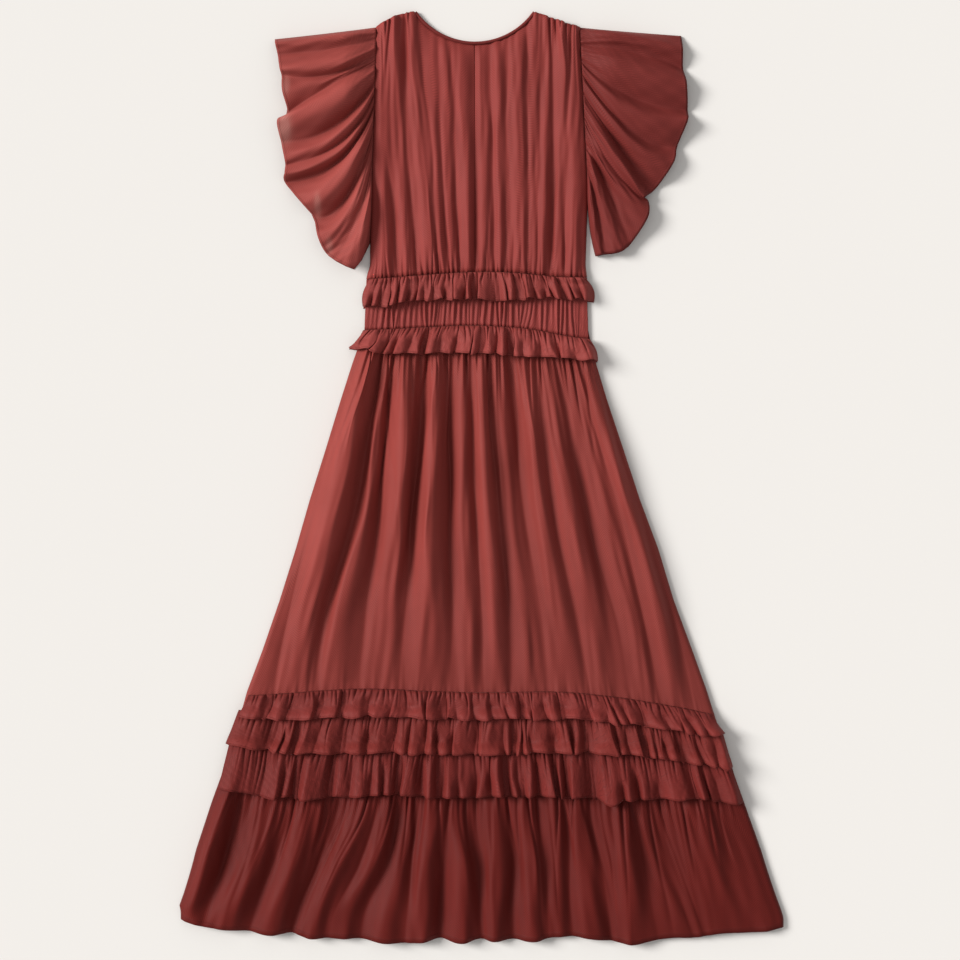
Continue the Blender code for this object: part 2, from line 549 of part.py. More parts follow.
def waist():
    upper, lower = level(WAIST_TOP, GAP), level(WAIST_FOOT, -GAP)
    ends = (left_side(375.0), right_side(375.0), left_side(445.0), right_side(445.0))
    rows = [(upper, STEP + STEP, 0.0), (between(upper, lower, 0.3), STEP + STEP, 0.6), (lower, STEP + STEP, 0.6)]
    x, down, height = frill(WAIST_PUCKERS, rows, ends, WAIST_FOLD)
    down[-1] = lower(x[-1])
    cloth("waist_panel_front", x, down, height)
    back = [(upper, STEP), (lower, STEP)]
    cloth("waist_panel_back", *flat_panel(back, left_side, right_side))

    on_panel = STEP + STEP + WAIST_FOLD + SLOPED_WALL + GAP
    at_seam = STEP + STEP + WALL + 1.4 * GAP
    for name, seam, edge, flutes, ends, bases in (
        ("waist_ruffle_upper", WAIST_TOP, UPPER_EDGE, UPPER_FLUTES, (-160, 141, -168, 156), (0.0, 0.0, 0.0)),
        ("waist_ruffle_lower", WAIST_FOOT, LOWER_EDGE, LOWER_FLUTES, (-167, 147, -188, 159), (0.8, 1.0, 3.0)),
    ):
        start, stop = level(seam, GAP), level(edge)
        middle = between(start, stop, 0.5)
        rows = [(start, at_seam + bases[0], 0.0), (middle, on_panel + bases[1], 0.5), (stop, on_panel + bases[2], 1.0)]
        cloth(name + "_front", *frill(flutes, rows, ends, WAIST_FLUTE))
        cloth(name + "_back", *flat_frill([(start, 0.0, 0.0), (stop, 0.0, 1.0)], ends))


def skirt():
    top, under = level(WAIST_FOOT, GAP), level(LOWER_EDGE, 2)
    after, before = level(LOWER_EDGE, 14), level(TIER_1_SEAM, -12)
    rows = [(top, STEP, 0.08), (under, STEP, 0.45), (after, 0.0, 0.6)]
    rows += [(between(after, before, share), 0.0, fold) for share, fold in
             ((0.12, 0.85), (0.3, 1.0), (0.5, 1.0), (0.7, 1.0), (0.87, 0.75))]
    rows += [
        (before, 0.0, 0.35),
        (level(TIER_1_SEAM, -2), 2 * STEP, 0.2),
        (level(TIER_2_EDGE, -TUCKED - GAP), 2 * STEP, 0.2),
    ]
    cloth("skirt_front", *panel(SKIRT, SKIRT_STATIONS, rows, left_side, right_side, SKIRT_FOLD))
    back = [(row[0], row[1]) for row in rows if row[2] not in (0.85, 1.0, 0.75)]
    cloth("skirt_back", *flat_panel(back, left_side, right_side))


def tier_ruffles():
    sewn = 2 * STEP + STEP + SEWN_FOLD + SLOPED_WALL + GAP
    first, second, third = level(TIER_1_EDGE), level(TIER_2_EDGE), level(TIER_3_EDGE)
    start_1, start_2, start_3 = level(TIER_1_SEAM, GAP), level(TIER_1_EDGE, -TUCKED), level(TIER_2_EDGE, -TUCKED)
    plan = (
        ("tier_ruffle_1", TIER_1_FLUTES, start_1, first, (-327, 329, -341, 336), (0.0, 2.4, 4.7)),
        ("tier_ruffle_2", TIER_2_FLUTES, start_2, second, (-341, 331, -359, 346), (0.0, 2.2, 4.4)),
        ("tier_ruffle_3", TIER_3_FLUTES, start_3, third, (-352, 342, -369, 361), (0.1, 1.2, 3.6)),
    )
    for (name, flutes, start, stop, ends, raised), stand in zip(plan, TIER_FLUTES):
        rows = [
            (start, sewn + raised[0], 0.0),
            (between(start, stop, 0.55), sewn + raised[1], 0.55),
            (stop, sewn + raised[2], 1.0),
        ]
        cloth(name + "_front", *frill(flutes, rows, ends, stand))
    cloth("tier_ruffle_1_back", *flat_frill([(start_1, 0.0, 0.0), (first, 0.0, 1.0)], plan[0][4]))
    for name, start, over, stop, ends in (
        ("tier_ruffle_2_back", start_2, TIER_1_EDGE, second, plan[1][4]),
        ("tier_ruffle_3_back", start_3, TIER_2_EDGE, third, plan[2][4]),
    ):
        rows = [(start, STEP, 0.0), (level(over, 3), STEP, 0.2), (level(over, 14), 0.0, 0.4), (stop, 0.0, 1.0)]
        cloth(name, *flat_frill(rows, ends))


def hem_tier():
    top = level(TIER_2_EDGE, GAP - TUCKED)
    rows = [
        (top, 2 * STEP, 0.19),
        (level(TIER_2_EDGE, 3), 2 * STEP, 0.22),
        (level(TIER_2_EDGE, 14), STEP, 0.27),
        (level(TIER_3_EDGE, 2), STEP, 0.5),
        (level(TIER_3_EDGE, 16), 0.0, 0.75),
        (straight(1180.0), 0.0, 1.0),
        (straight(1245.0), 0.0, 1.0),
        (straight(1290.0), 0.0, 0.75),
    ]
    x, down, height = panel(HEM, HEM_STATIONS, rows, left_side, right_side, HEM_FOLD)
    ends = np.concatenate([HEM_CORNERS[:1], HEM["end"], HEM_CORNERS[1:]])[None, :]
    down[-1] = fill_columns(ends, ends, FOLD_PARTS)[1][0]
    cloth("hem_tier_front", x, down, height)
    back = [(row[0], row[1]) for row in rows if row[2] != 1.0]
    flat_x, flat_down, flat_height = flat_panel(back, left_side, right_side)
    flat_down[-1] = np.interp(flat_x[-1], x[-1], down[-1]) - 2.0
    cloth("hem_tier_back", flat_x, flat_down, flat_height)


def main():
    for old in list(bpy.data.objects):
        bpy.data.objects.remove(old, do_unlink=True)
    collection = bpy.data.collections.new(NAME)
    bpy.context.scene.collection.children.link(collection)
    bodice()
    waist()
    skirt()
    tier_ruffles()
    hem_tier()
    sleeve("sleeve_left", SLEEVE_LEFT, -1, lambda d: left_side(d) - 2 * GAP)
    sleeve("sleeve_right", SLEEVE_RIGHT, 1, lambda d: right_side(d) + 2 * GAP)


main()
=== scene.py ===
"""The looks of a tiered, ruffled herringbone dress laid flat, face up.

Sizes are in millimetres until a mesh is made: a place across (x, from the middle of the hem), a place
down (from the neck point to the hem) and a height above the surface that the dress lies on.
"""

from math import pi, radians

import bpy
import numpy as np
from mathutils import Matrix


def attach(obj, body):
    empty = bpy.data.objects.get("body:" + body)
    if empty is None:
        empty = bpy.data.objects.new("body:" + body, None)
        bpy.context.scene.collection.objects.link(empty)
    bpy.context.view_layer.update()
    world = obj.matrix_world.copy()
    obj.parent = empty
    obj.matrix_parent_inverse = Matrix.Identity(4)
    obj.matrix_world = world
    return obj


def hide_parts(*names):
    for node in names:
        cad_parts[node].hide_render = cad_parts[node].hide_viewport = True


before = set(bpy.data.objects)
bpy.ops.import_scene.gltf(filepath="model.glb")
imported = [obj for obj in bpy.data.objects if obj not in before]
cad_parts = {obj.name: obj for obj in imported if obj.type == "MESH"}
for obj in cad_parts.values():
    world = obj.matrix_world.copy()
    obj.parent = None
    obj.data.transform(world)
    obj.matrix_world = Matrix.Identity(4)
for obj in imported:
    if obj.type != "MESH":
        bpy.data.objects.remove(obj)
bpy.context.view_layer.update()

# The whole dress: its length, the shift that brings its middle to 0, the place of its centre seam, the
# cloth's thickness, the step where layers overlap, and the gap beside a seam
LENGTH = 1300.0
MIDDLE = 2.8
SEAM_X = -12.1
CLOTH = 0.7
STEP = 1.5
GAP = 0.3

# The air under a frill, as a rule and at the least, and how high the cloth of the hidden side lies
CLEARANCE = 0.9
LEAST_CLEARANCE = 0.6
UNDERSIDE = 0.42

# Heights above the first number are flattened, and rise by the second at the most
PRESSED_FROM = 25.0
PRESSED_ROOM = 7.0

# Neckline: an arc between the two neck points
NECK_HALF_WIDTH = 81.0
NECK_DEPTH = 42.0
NECK_RADIUS = (NECK_HALF_WIDTH ** 2 + NECK_DEPTH ** 2) / (2.0 * NECK_DEPTH)
BINDING_WIDTH = 4.4

# How high the folds stand
BODICE_FOLD = 12.5
SKIRT_FOLD = 22.0
HEM_FOLD = 20.0

# Half the width of a deep gap in a frill
DEEP_GAP = 3.2

# Where the hem tier starts to follow its wavy edge, and where its last row is
HEM_WAVE_FROM = 1180.0
HEM_FOOT = 1290.0

# The sides are soft folds: how far in they run, and how high and round they are
SIDE_RUN = 20.0
SIDE_HEIGHT = 6.0
SIDE_ROUND = 7.0
SIDE_FADE = 30.0

# A seam is smoothed over these places on each side
SMOOTHING = (-30.0, -15.0, 0.0, 15.0, 30.0)


def table(columns, rows):
    """A table as a dict of arrays, one for each named column. Heights are held in tenths."""
    made = dict(zip(columns.split(), np.array(rows, dtype=float).T))
    for name in made:
        if name.startswith(("z", "height")):
            made[name] = made[name] / 10.0
    return made


# Sides of the body, from the shoulder to the hem
SIDES = table("down left right", [
    (22, -150, 135), (240, -157, 146), (355, -158, 142), (370, -163, 144), (445, -166, 146),
    (489, -182, 156), (542, -199, 172), (611, -220, 195), (681, -242, 218), (751, -262, 244),
    (821, -284, 265), (891, -308, 291), (947, -329, 311), (1027, -351, 336), (1100, -378, 362),
    (1170, -401, 387), (1240, -418, 408), (1262, -423.8, 415), (1275, -422, 418.2),
])

# Shoulder edges, from the neck point outwards
SHOULDERS = table("across down", [
    (-150, 22.3), (-144, 18), (-132, 11), (-117, 4.5), (-92.6, 0),
    (69.4, 0), (82, 4.2), (100, 11), (117, 18), (135, 22.3),
])

# Seams and free edges that cross the dress: how far down each is at a place across
WAIST_TOP = table("across down", [
    (-153, 374), (-101, 369), (-13, 363), (49, 364), (106, 372), (141, 371),
])
WAIST_FOOT = table("across down", [
    (-165, 445), (-76, 440), (-13, 437), (24, 440), (73, 442), (111, 453), (146, 458),
])
UPPER_EDGE = table("across down", [
    (-168, 416), (-144, 411), (-109, 406), (-38, 402), (13, 407), (61, 402), (119, 400), (156, 408),
])
LOWER_EDGE = table("across down", [
    (-188, 468), (-160, 477), (-101, 480), (-26, 476), (24, 480), (76, 483), (108, 486), (159, 490),
])
TIER_1_SEAM = table("across down", [
    (-327, 953), (-272, 950), (-217, 945), (-148, 943), (-79, 947), (-5, 949), (109, 947),
    (195, 956), (252, 966), (297, 973), (329, 983),
])
TIER_1_EDGE = table("across down", [
    (-341, 982), (-289, 988), (-245, 987), (-173, 980), (-51, 987), (106, 985), (172, 989),
    (228, 997), (280, 1004), (309, 1009), (336, 1008),
])
TIER_2_EDGE = table("across down", [
    (-359, 1019), (-305, 1030), (-261, 1034), (-135, 1033), (-5, 1035), (137, 1032), (228, 1037),
    (263, 1044), (340, 1052),
])
TIER_3_EDGE = table("across down", [
    (-369, 1082), (-283, 1097), (-173, 1095), (-121, 1088), (-79, 1096), (115, 1093), (165, 1100),
    (297, 1096), (357, 1104),
])

# Folds: each row is a ridge or a valley, with its place across and its share of the fold's height, in
# tenths, at five stations from the top of the panel to its foot
FOLD = "x1 x2 x3 x4 x5 z1 z2 z3 z4 z5"
BODICE_STATIONS = (20, 105, 190, 280, 368)
BODICE_LEFT = table(FOLD, [
    (-142, -141, -144, -137, -131, 7, 5, 4, 6, 7), (-136, -134, -136, -127, -121, 0, 3, 3, 0, 1),
    (-129, -122, -116, -110, -107, 9, 8, 4, 7, 8), (-110, -109, -106, -99, -93, 0, 0, 3, 2, 2),
    (-102, -99, -88, -77, -70, 9, 8, 7, 9, 9), (-92, -86, -73, -69, -61, 3, 3, 5, 5, 3),
    (-78, -72, -67, -63, -56, 4, 5, 6, 7, 7), (-66, -62, -59, -55, -48, 3, 3, 3, 2, 2),
    (-56, -51, -50, -48, -41, 6, 6, 5, 5, 6), (-47, -43, -40, -37, -33, 3, 3, 1, 0, 0),
    (-32, -30, -24, -22, -21, 6, 6, 7, 8, 8),
])
BODICE_RIGHT = table(FOLD, [
    (-2, -2, 2, 0, -1, 4, 4, 5, 6, 6), (9, 10, 12, 14, 15, 1, 1, 1, 2, 2),
    (22, 22, 22, 22, 22, 7, 7, 6, 6, 6), (30, 30, 31, 31, 31, 4, 3, 3, 2, 2),
    (50, 52, 52, 54, 53, 6, 8, 8, 7, 7), (60, 61, 61, 62, 61, 3, 3, 4, 4, 4),
    (70, 71, 71, 70, 69, 5, 5, 5, 6, 6), (79, 80, 78, 76, 75, 3, 3, 4, 5, 4),
    (87, 88, 86, 83, 81, 5, 5, 7, 9, 8), (94, 98, 97, 96, 91, 0, 3, 1, 0, 0),
    (107, 111, 108, 105, 102, 9, 8, 6, 5, 6), (117, 120, 117, 114, 112, 0, 3, 5, 2, 2),
    (126, 128, 129, 124, 121, 7, 6, 6, 7, 7),
])
SKIRT_STATIONS = (445, 560, 700, 860, 1027)
SKIRT = table(FOLD, [
    (-153, -188, -236, -276, -312, 6, 6, 4, 1, 5), (-145, -176, -206, -245, -272, 7, 10, 10, 8, 7),
    (-134, -156, -180, -224, -244, 2, 0, 0, 1, 5), (-128, -145, -162, -203, -222, 6, 5, 5, 8, 7),
    (-121, -134, -147, -166, -184, 4, 1, 0, 1, 3), (-109, -113, -119, -134, -146, 7, 10, 9, 6, 7),
    (-80, -88, -98, -110, -126, 2, 0, 0, 3, 3), (-63, -66, -73, -76, -90, 6, 8, 10, 9, 7),
    (-47, -48, -48, -44, -52, 1, 0, 0, 3, 3), (-30, -28, -27, -20, -22, 6, 7, 7, 7, 7),
    (-20, -17, -11, -2, 0, 3, 3, 3, 3, 3), (-6, -2, 6, 16, 20, 8, 9, 10, 8, 7),
    (7, 11, 23, 37, 42, 2, 2, 2, 1, 3), (17, 24, 37, 60, 66, 5, 5, 4, 5, 7),
    (34, 45, 58, 83, 95, 1, 0, 1, 3, 3), (60, 68, 84, 112, 130, 7, 9, 8, 7, 7),
    (71, 80, 98, 131, 150, 4, 4, 3, 3, 3), (83, 96, 121, 152, 176, 6, 7, 9, 6, 7),
    (100, 120, 147, 190, 212, 3, 3, 0, 2, 3), (116, 141, 172, 212, 240, 5, 5, 6, 7, 7),
    (124, 152, 192, 228, 262, 4, 4, 4, 4, 3), (134, 166, 208, 250, 286, 6, 7, 7, 9, 7),
    (140, 176, 224, 274, 310, 5, 5, 4, 1, 3),
])
HEM_STATIONS = (1027, 1121, 1190, 1261, 1290)
HEM = table(FOLD + " end", [
    (-336, -366, -393, -412, -415, 6, 10, 10, 7, 5, 1268),
    (-322, -343, -362, -386, -393, 3, 1, 0, 3, 5, 1274),
    (-288, -300, -322, -351, -360, 6, 9, 10, 10, 8, 1279),
    (-262, -273, -294, -320, -327, 4, 5, 3, 2, 2, 1281),
    (-240, -251, -270, -291, -298, 7, 10, 10, 10, 9, 1287),
    (-196, -207, -232, -260, -268, 2, 1, 1, 1, 2, 1283),
    (-160, -167, -203, -232, -240, 7, 9, 9, 8, 8, 1292),
    (-146, -150, -174, -210, -216, 5, 5, 3, 4, 4, 1290),
    (-130, -135, -158, -192, -196, 7, 9, 8, 6, 7, 1292),
    (-112, -118, -134, -167, -172, 2, 1, 1, 1, 2, 1291),
    (-103, -107, -117, -131, -136, 4, 4, 5, 9, 9, 1298),
    (-92, -96, -101, -107, -109, 1, 1, 1, 5, 5, 1297), (-66, -70, -81, -84, -86, 8, 10, 9, 9, 9, 1297),
    (-50, -53, -56, -58, -60, 5, 5, 1, 0, 1, 1290), (-35, -40, -31, -30, -32, 6, 6, 10, 9, 9, 1299),
    (-13, -16, -7, -5, -4, 1, 1, 1, 2, 2, 1291), (14, 18, 20, 16, 15, 8, 7, 8, 8, 8, 1296),
    (31, 33, 42, 40, 40, 3, 3, 1, 1, 1, 1292), (56, 61, 69, 69, 71, 7, 7, 9, 9, 9, 1296),
    (75, 79, 87, 90, 92, 3, 2, 3, 4, 4, 1290), (95, 100, 102, 104, 106, 7, 7, 6, 6, 6, 1289),
    (110, 115, 118, 121, 124, 3, 2, 2, 2, 3, 1288), (126, 131, 139, 147, 152, 6, 7, 7, 8, 8, 1292),
    (141, 147, 164, 174, 178, 3, 2, 3, 2, 2, 1295), (186, 194, 201, 205, 208, 8, 9, 10, 9, 9, 1300),
    (204, 212, 225, 237, 243, 3, 2, 2, 3, 3, 1293), (215, 224, 240, 260, 268, 5, 5, 4, 5, 5, 1290),
    (228, 238, 256, 280, 290, 2, 2, 3, 4, 4, 1291), (280, 299, 312, 324, 330, 8, 9, 8, 6, 6, 1284),
    (318, 338, 358, 384, 392, 2, 2, 3, 4, 4, 1282),
])
HEM_CORNERS = (1265.0, 1276.0)

# Gathers: each row is a pucker's left end and the share of the height that it stands, in tenths
PUCKER = "across height"
WAIST_PUCKERS = table(PUCKER, [
    (-151, 7), (-140, 9), (-126, 10), (-110, 8), (-93, 9), (-79, 7), (-68, 8), (-56, 9), (-44, 9),
    (-29, 8), (-17, 10), (-3, 9), (9, 10), (26, 8), (40, 7), (50, 9), (62, 9), (75, 10), (93, 8),
    (104, 9), (117, 9), (131, 7),
])
UPPER_FLUTES = table(PUCKER, [
    (-157, 8), (-146, 7), (-133, 9), (-120, 10), (-108, 6), (-95, 8), (-83, 7), (-70, 9), (-56, 8),
    (-42, 10), (-27, 9), (-12, 10), (20, 6), (33, 8), (46, 7), (60, 10), (73, 8), (86, 7), (99, 9),
    (113, 8), (126, 7), (140, 9),
])
LOWER_FLUTES = table(PUCKER, [
    (-172, 8), (-159, 10), (-142, 8), (-126, 9), (-107, 10), (-87, 10), (-61, 8), (-42, 10), (-19, 7),
    (-5, 9), (16, 10), (37, 8), (55, 9), (79, 10), (107, 8), (130, 9),
])
TIER_1_FLUTES = table(PUCKER, [
    (-306, 9), (-274, 7), (-233, 9), (-201, 10), (-160, 8), (-131, 9), (-106, 10), (-80, 8), (-54, 6),
    (-36, 7), (-12, 8), (13, 7), (34, 9), (54, 8), (68, 9), (90, 10), (111, 10), (152, 8), (174, 7),
    (188, 8), (204, 9), (226, 10), (260, 7), (278, 8), (296, 9), (312, 8),
])
TIER_2_FLUTES = table(PUCKER, [
    (-301, 6), (-287, 8), (-268, 9), (-237, 8), (-196, 10), (-163, 9), (-127, 8), (-106, 9), (-82, 8),
    (-65, 9), (-44, 8), (-10, 10), (30, 6), (42, 7), (54, 8), (69, 10), (98, 10), (124, 6), (143, 10),
    (189, 7), (204, 8), (227, 7), (241, 9), (258, 8), (277, 8), (305, 9), (325, 7),
])
TIER_3_FLUTES = table(PUCKER, [
    (-311, 8), (-284, 7), (-262, 10), (-214, 8), (-187, 10), (-159, 8), (-142, 8), (-120, 10), (-83, 8),
    (-62, 9), (-36, 10), (-11, 8), (12, 9), (33, 8), (55, 9), (76, 10), (104, 7), (118, 10), (154, 9),
    (196, 10), (218, 9), (246, 10), (298, 8), (316, 7), (330, 8),
])

# Sleeves: each row is a ridge or valley from the armhole to the hem, from the top fold to the underarm.
# Its places were noted on an enlarged view of each sleeve, in the view's own units, and its
# shares of the height are in tenths
FAN = "arm mid_x mid hem_x hem z_arm z_mid z_hem"
VIEW_ZOOM = 6.03
VIEW_TOP = 20
PHOTO_TOP = 12
PHOTO_MIDDLE = 483.5
PHOTO_UNIT = 1.396


def noted(view_left, rows):
    """A sleeve's table, with its places turned from the view's units to millimetres across and down."""
    fan = table(FAN, rows)
    for name in ("mid_x", "hem_x"):
        fan[name] = np.round((view_left + fan[name] / VIEW_ZOOM - PHOTO_MIDDLE) * PHOTO_UNIT, 1)
    for name in ("arm", "mid", "hem"):
        fan[name] = np.round((VIEW_TOP + fan[name] / VIEW_ZOOM - PHOTO_TOP) * PHOTO_UNIT, 1)
    return fan


SLEEVE_LEFT = noted(270, [
    (48, 333, 86, 30, 120, 0, 0, 0), (80, 360, 130, 38, 160, 3.5, 5, 5),
    (120, 380, 185, 50, 215, 0.5, 2, 2.5), (180, 360, 290, 65, 303, 5, 7.5, 6.5),
    (212, 368, 338, 74, 345, 1, 3, 3), (240, 372, 366, 80, 440, 2, 4.2, 6),
    (268, 374, 402, 108, 566, 0.5, 2.5, 1), (325, 372, 510, 52, 622, 6, 9.5, 8.5),
    (385, 388, 648, 72, 745, 0, 0, 3), (425, 428, 696, 93, 845, 5, 7.5, 5.5),
    (455, 432, 744, 97, 884, 1, 3, 3.5), (485, 430, 800, 95, 930, 4, 6.5, 6),
    (520, 420, 856, 92, 983, 0, 1, 0), (600, 430, 970, 192, 1106, 5.5, 9.5, 7.5),
    (680, 452, 1090, 262, 1190, 1, 0.5, 1), (760, 482, 1170, 296, 1322, 4.5, 7, 6.5),
    (840, 522, 1224, 346, 1416, 2.5, 4, 3.5), (920, 566, 1262, 440, 1477, 4.5, 7.5, 7),
    (960, 592, 1272, 522, 1497, 3, 5, 5), (1000, 612, 1180, 604, 1345, 0, 0, 0),
])
SLEEVE_RIGHT = noted(575, [
    (50, 330, 76, 640, 100, 0, 0, 0), (95, 335, 125, 646, 190, 3.5, 5.5, 5),
    (155, 350, 205, 650, 298, 0.5, 1, 0.5), (205, 345, 330, 668, 400, 5, 8.5, 8),
    (262, 335, 470, 677, 548, 0, 1, 1), (290, 340, 560, 672, 622, 4.5, 7.5, 8),
    (335, 350, 690, 614, 765, 1, 1.5, 1.5), (370, 335, 745, 590, 868, 4.5, 8, 7.5),
    (450, 290, 800, 487, 1018, 0, 0, 0.5), (530, 250, 850, 412, 1078, 5.5, 9, 8),
    (600, 228, 905, 440, 1100, 3.5, 5, 4), (680, 205, 950, 434, 1200, 4, 6.5, 7.5),
    (760, 165, 955, 332, 1356, 0, 0.5, 3.5), (830, 135, 1010, 262, 1404, 4.5, 6.5, 6.5),
    (890, 115, 1080, 190, 1414, 1.5, 1.5, 2.5), (940, 98, 1150, 150, 1422, 3, 4.5, 4.5),
    (985, 84, 1220, 124, 1426, 0, 0, 0),
])


# Curves and folds

def ease(t):
    """0 to 1 with level ends: half a turn of a cosine."""
    return (1.0 - np.cos(pi * np.clip(t, 0.0, 1.0))) / 2.0


def smooth_between(stations, values, at):
    """A cubic curve through the values at each station, with slopes taken from its neighbours."""
    stations, values = np.asarray(stations, float), np.asarray(values, float)
    slopes = np.gradient(values, stations, axis=0)
    i = np.clip(np.searchsorted(stations, at, side="right") - 1, 0, len(stations) - 2)
    span = (stations[i + 1] - stations[i])[:, None]
    t = np.clip((at - stations[i])[:, None] / span, 0.0, 1.0)
    near = values[i] * (2 * t ** 3 - 3 * t ** 2 + 1) + slopes[i] * span * (t ** 3 - 2 * t ** 2 + t)
    return near + values[i + 1] * (3 * t ** 2 - 2 * t ** 3) + slopes[i + 1] * span * (t ** 3 - t ** 2)


def level(curve, offset=0.0):
    """How far down a seam or edge is at any place across: its table, smoothed, moved by an offset."""
    def line(x):
        near = [np.interp(x + shift, curve["across"], curve["down"]) for shift in SMOOTHING]
        return sum(near) / len(near) + offset
    return line


def between(upper, lower, share):
    """A row that lies a share of the way from one row to another."""
    return lambda x: upper(x) * (1.0 - share) + lower(x) * share


def straight(place):
    """A row or a side that is at the same place all along."""
    return lambda along: np.full_like(along, place)


def left_side(down):
    """Where the body's left side is, at each place down."""
    return np.interp(down, SIDES["down"], SIDES["left"])


def right_side(down):
    """Where the body's right side is, at each place down."""
    return np.interp(down, SIDES["down"], SIDES["right"])


def neck_arc(x, outwards):
    """The neckline's circle, or one a little outside it, as how far down it is across."""
    reach = np.clip((NECK_RADIUS + outwards) ** 2 - (x - SEAM_X) ** 2, 0.0, None)
    return NECK_DEPTH - NECK_RADIUS + np.sqrt(reach)


def bodice_top(x):
    """The shoulder edge, cut out by the neckline."""
    shoulder = np.interp(x, SHOULDERS["across"], SHOULDERS["down"])
    return np.maximum(shoulder, neck_arc(x, BINDING_WIDTH - 1.4))


def ripple(across, along, seed, shortest, longest, stretch, count=14):
    """Unevenness from about -1 to 1: a sum of sine waves of mixed widths that run mostly along."""
    chance = np.random.default_rng(seed)
    total = np.zeros(np.broadcast(across, along).shape)
    for _ in range(count):
        width = shortest * (longest / shortest) ** chance.random()
        slant = chance.normal() / (width * stretch)
        total += np.sin(2 * pi * (across / width + along * slant + chance.random()))
    return total / np.sqrt(count)


def gathers(across, away, seed, pitch, reach, span, narrow=1.0):
    """Fine pleats that run away from a seam: rounded ridges, each a bell curve across that fades along its
    length, of mixed widths, heights and lengths. Taken away from a surface they are its narrow tucks."""
    chance = np.random.default_rng(seed)
    total = np.zeros(np.broadcast(across, away).shape)
    place = span[0]
    while place < span[1]:
        place += pitch * (0.6 + 0.8 * chance.random())
        width = narrow * pitch * (0.2 + 0.14 * chance.random())
        length = reach * (0.3 + 1.4 * chance.random() ** 2)
        drift = 0.05 * chance.normal()
        high = 0.5 + 0.8 * chance.random()
        fade = np.clip(1.0 - away / length, 0.0, 1.0) ** 1.3
        total += high * fade * np.exp(-((across - place - drift * away) / width) ** 2)
    return total


def fine_rows(rows, pitch):
    """More rows between the ones given. Each is where it runs, its lift and its share of the folds."""
    made = []
    for (a, lift_a, share_a), (b, lift_b, share_b) in zip(rows, rows[1:]):
        middle = np.array(SEAM_X)
        count = max(1, round(float(b(middle) - a(middle)) / pitch))
        for t in np.arange(count) / count:
            lift = lift_a + (lift_b - lift_a) * float(ease(t))
            made.append((between(a, b, t), lift, share_a + (share_b - share_a) * t))
    return made + [rows[-1]]


def edge_places(rows, side):
    """Where each row meets a side, which depends on how far down the row has come by there."""
    place = np.full(len(rows), SEAM_X)
    for _ in range(4):
        place = side(np.array([float(row[0](np.array(x))) for row, x in zip(rows, place)]))
    return place


def fill_columns(x, height, pitch, crisp=0.28):
    """Columns between ridges and valleys. The height falls from a round ridge to a valley that is round
    too, or that comes to a line where crisp is 1."""
    widths = np.abs(np.diff(x, axis=1)).max(axis=0)
    xs, zs = [], []
    for k, width in enumerate(widths):
        parts = max(4, int(round(width / pitch)))
        t = np.arange(parts) / parts
        a, b = height[:, k:k + 1], height[:, k + 1:k + 2]
        down = np.where(b < a, t, 1.0 - t)
        fall = (1.0 - crisp) * ease(down) ** 1.2 + crisp * (1.0 - np.cos(down * pi / 2))
        xs.append(x[:, k:k + 1] * (1 - t) + x[:, k + 1:k + 2] * t)
        zs.append(np.maximum(a, b) + (np.minimum(a, b) - np.maximum(a, b)) * fall)
    return np.hstack(xs + [x[:, -1:]]), np.hstack(zs + [height[:, -1:]])


def panel(folds, stations, rows, left, right, fold, pitch, tapered=(True, True)):
    """A folded panel's grid of places across, places down and heights. Each ridge and valley is a smooth
    curve through its stations, each row has its own lift and share of the folds, and a tapered side falls
    to a low round roll."""
    downs = np.array([float(row[0](np.array(SEAM_X))) for row in rows])
    lifts = np.array([row[1] for row in rows])[:, None]
    shares = np.array([row[2] for row in rows])[:, None]
    edges = np.stack([edge_places(rows, left), edge_places(rows, right)], axis=1)
    count = len(stations)
    x = smooth_between(stations, [folds[f"x{n + 1}"] for n in range(count)], downs)
    z = np.clip(smooth_between(stations, [folds[f"z{n + 1}"] for n in range(count)], downs), 0.0, 1.1)
    x = np.concatenate([edges[:, :1], x, edges[:, 1:]], axis=1)
    ends = [np.zeros((len(rows), 1)) if side else np.full((len(rows), 1), 0.02) for side in tapered]
    z = np.concatenate([ends[0], z, ends[1]], axis=1)
    x, z = fill_columns(x, z, pitch)
    for side, edge, sign in zip(tapered, edges.T, (1, -1)):
        if side:
            z = z * ease(sign * (x - edge[:, None]) / SIDE_RUN)
    down = np.stack([row[0](across) for row, across in zip(rows, x)])
    roll = np.zeros_like(x)
    for side, edge, sign in zip(tapered, edges.T, (1, -1)):
        if side:
            inwards = np.clip(sign * (x - edge[:, None]), 0.0, None)
            round_edge = np.sqrt(np.clip(1.0 - (1.0 - inwards / SIDE_ROUND) ** 2, 0.0, 1.0))
            roll += np.where(inwards < SIDE_ROUND, round_edge, 1.0) * np.exp(-(inwards / SIDE_FADE) ** 2)
    return x, down, lifts + STEP + CLOTH + fold * shares * z + SIDE_HEIGHT * roll


def kept_sides(x, steep):
    """0 at both ends of a row and 1 further in, rising evenly over one part in steep of its columns."""
    t = np.linspace(0.0, 1.0, x.shape[1])
    return np.minimum(1.0, steep * np.minimum(t, 1.0 - t))


def lean(x, height, seed, strength):
    """Moves the upper part of the folds sideways, some one way and some the other."""
    middle = x[len(x) // 2][None, :]
    sway = ripple(middle, np.arange(len(x))[:, None] * 8.0, seed, 50.0, 140.0, 4.0, 6)
    return x + strength * sway * (height - height.mean(axis=1, keepdims=True)) * kept_sides(x, 12.0)


# The heights of what lies below

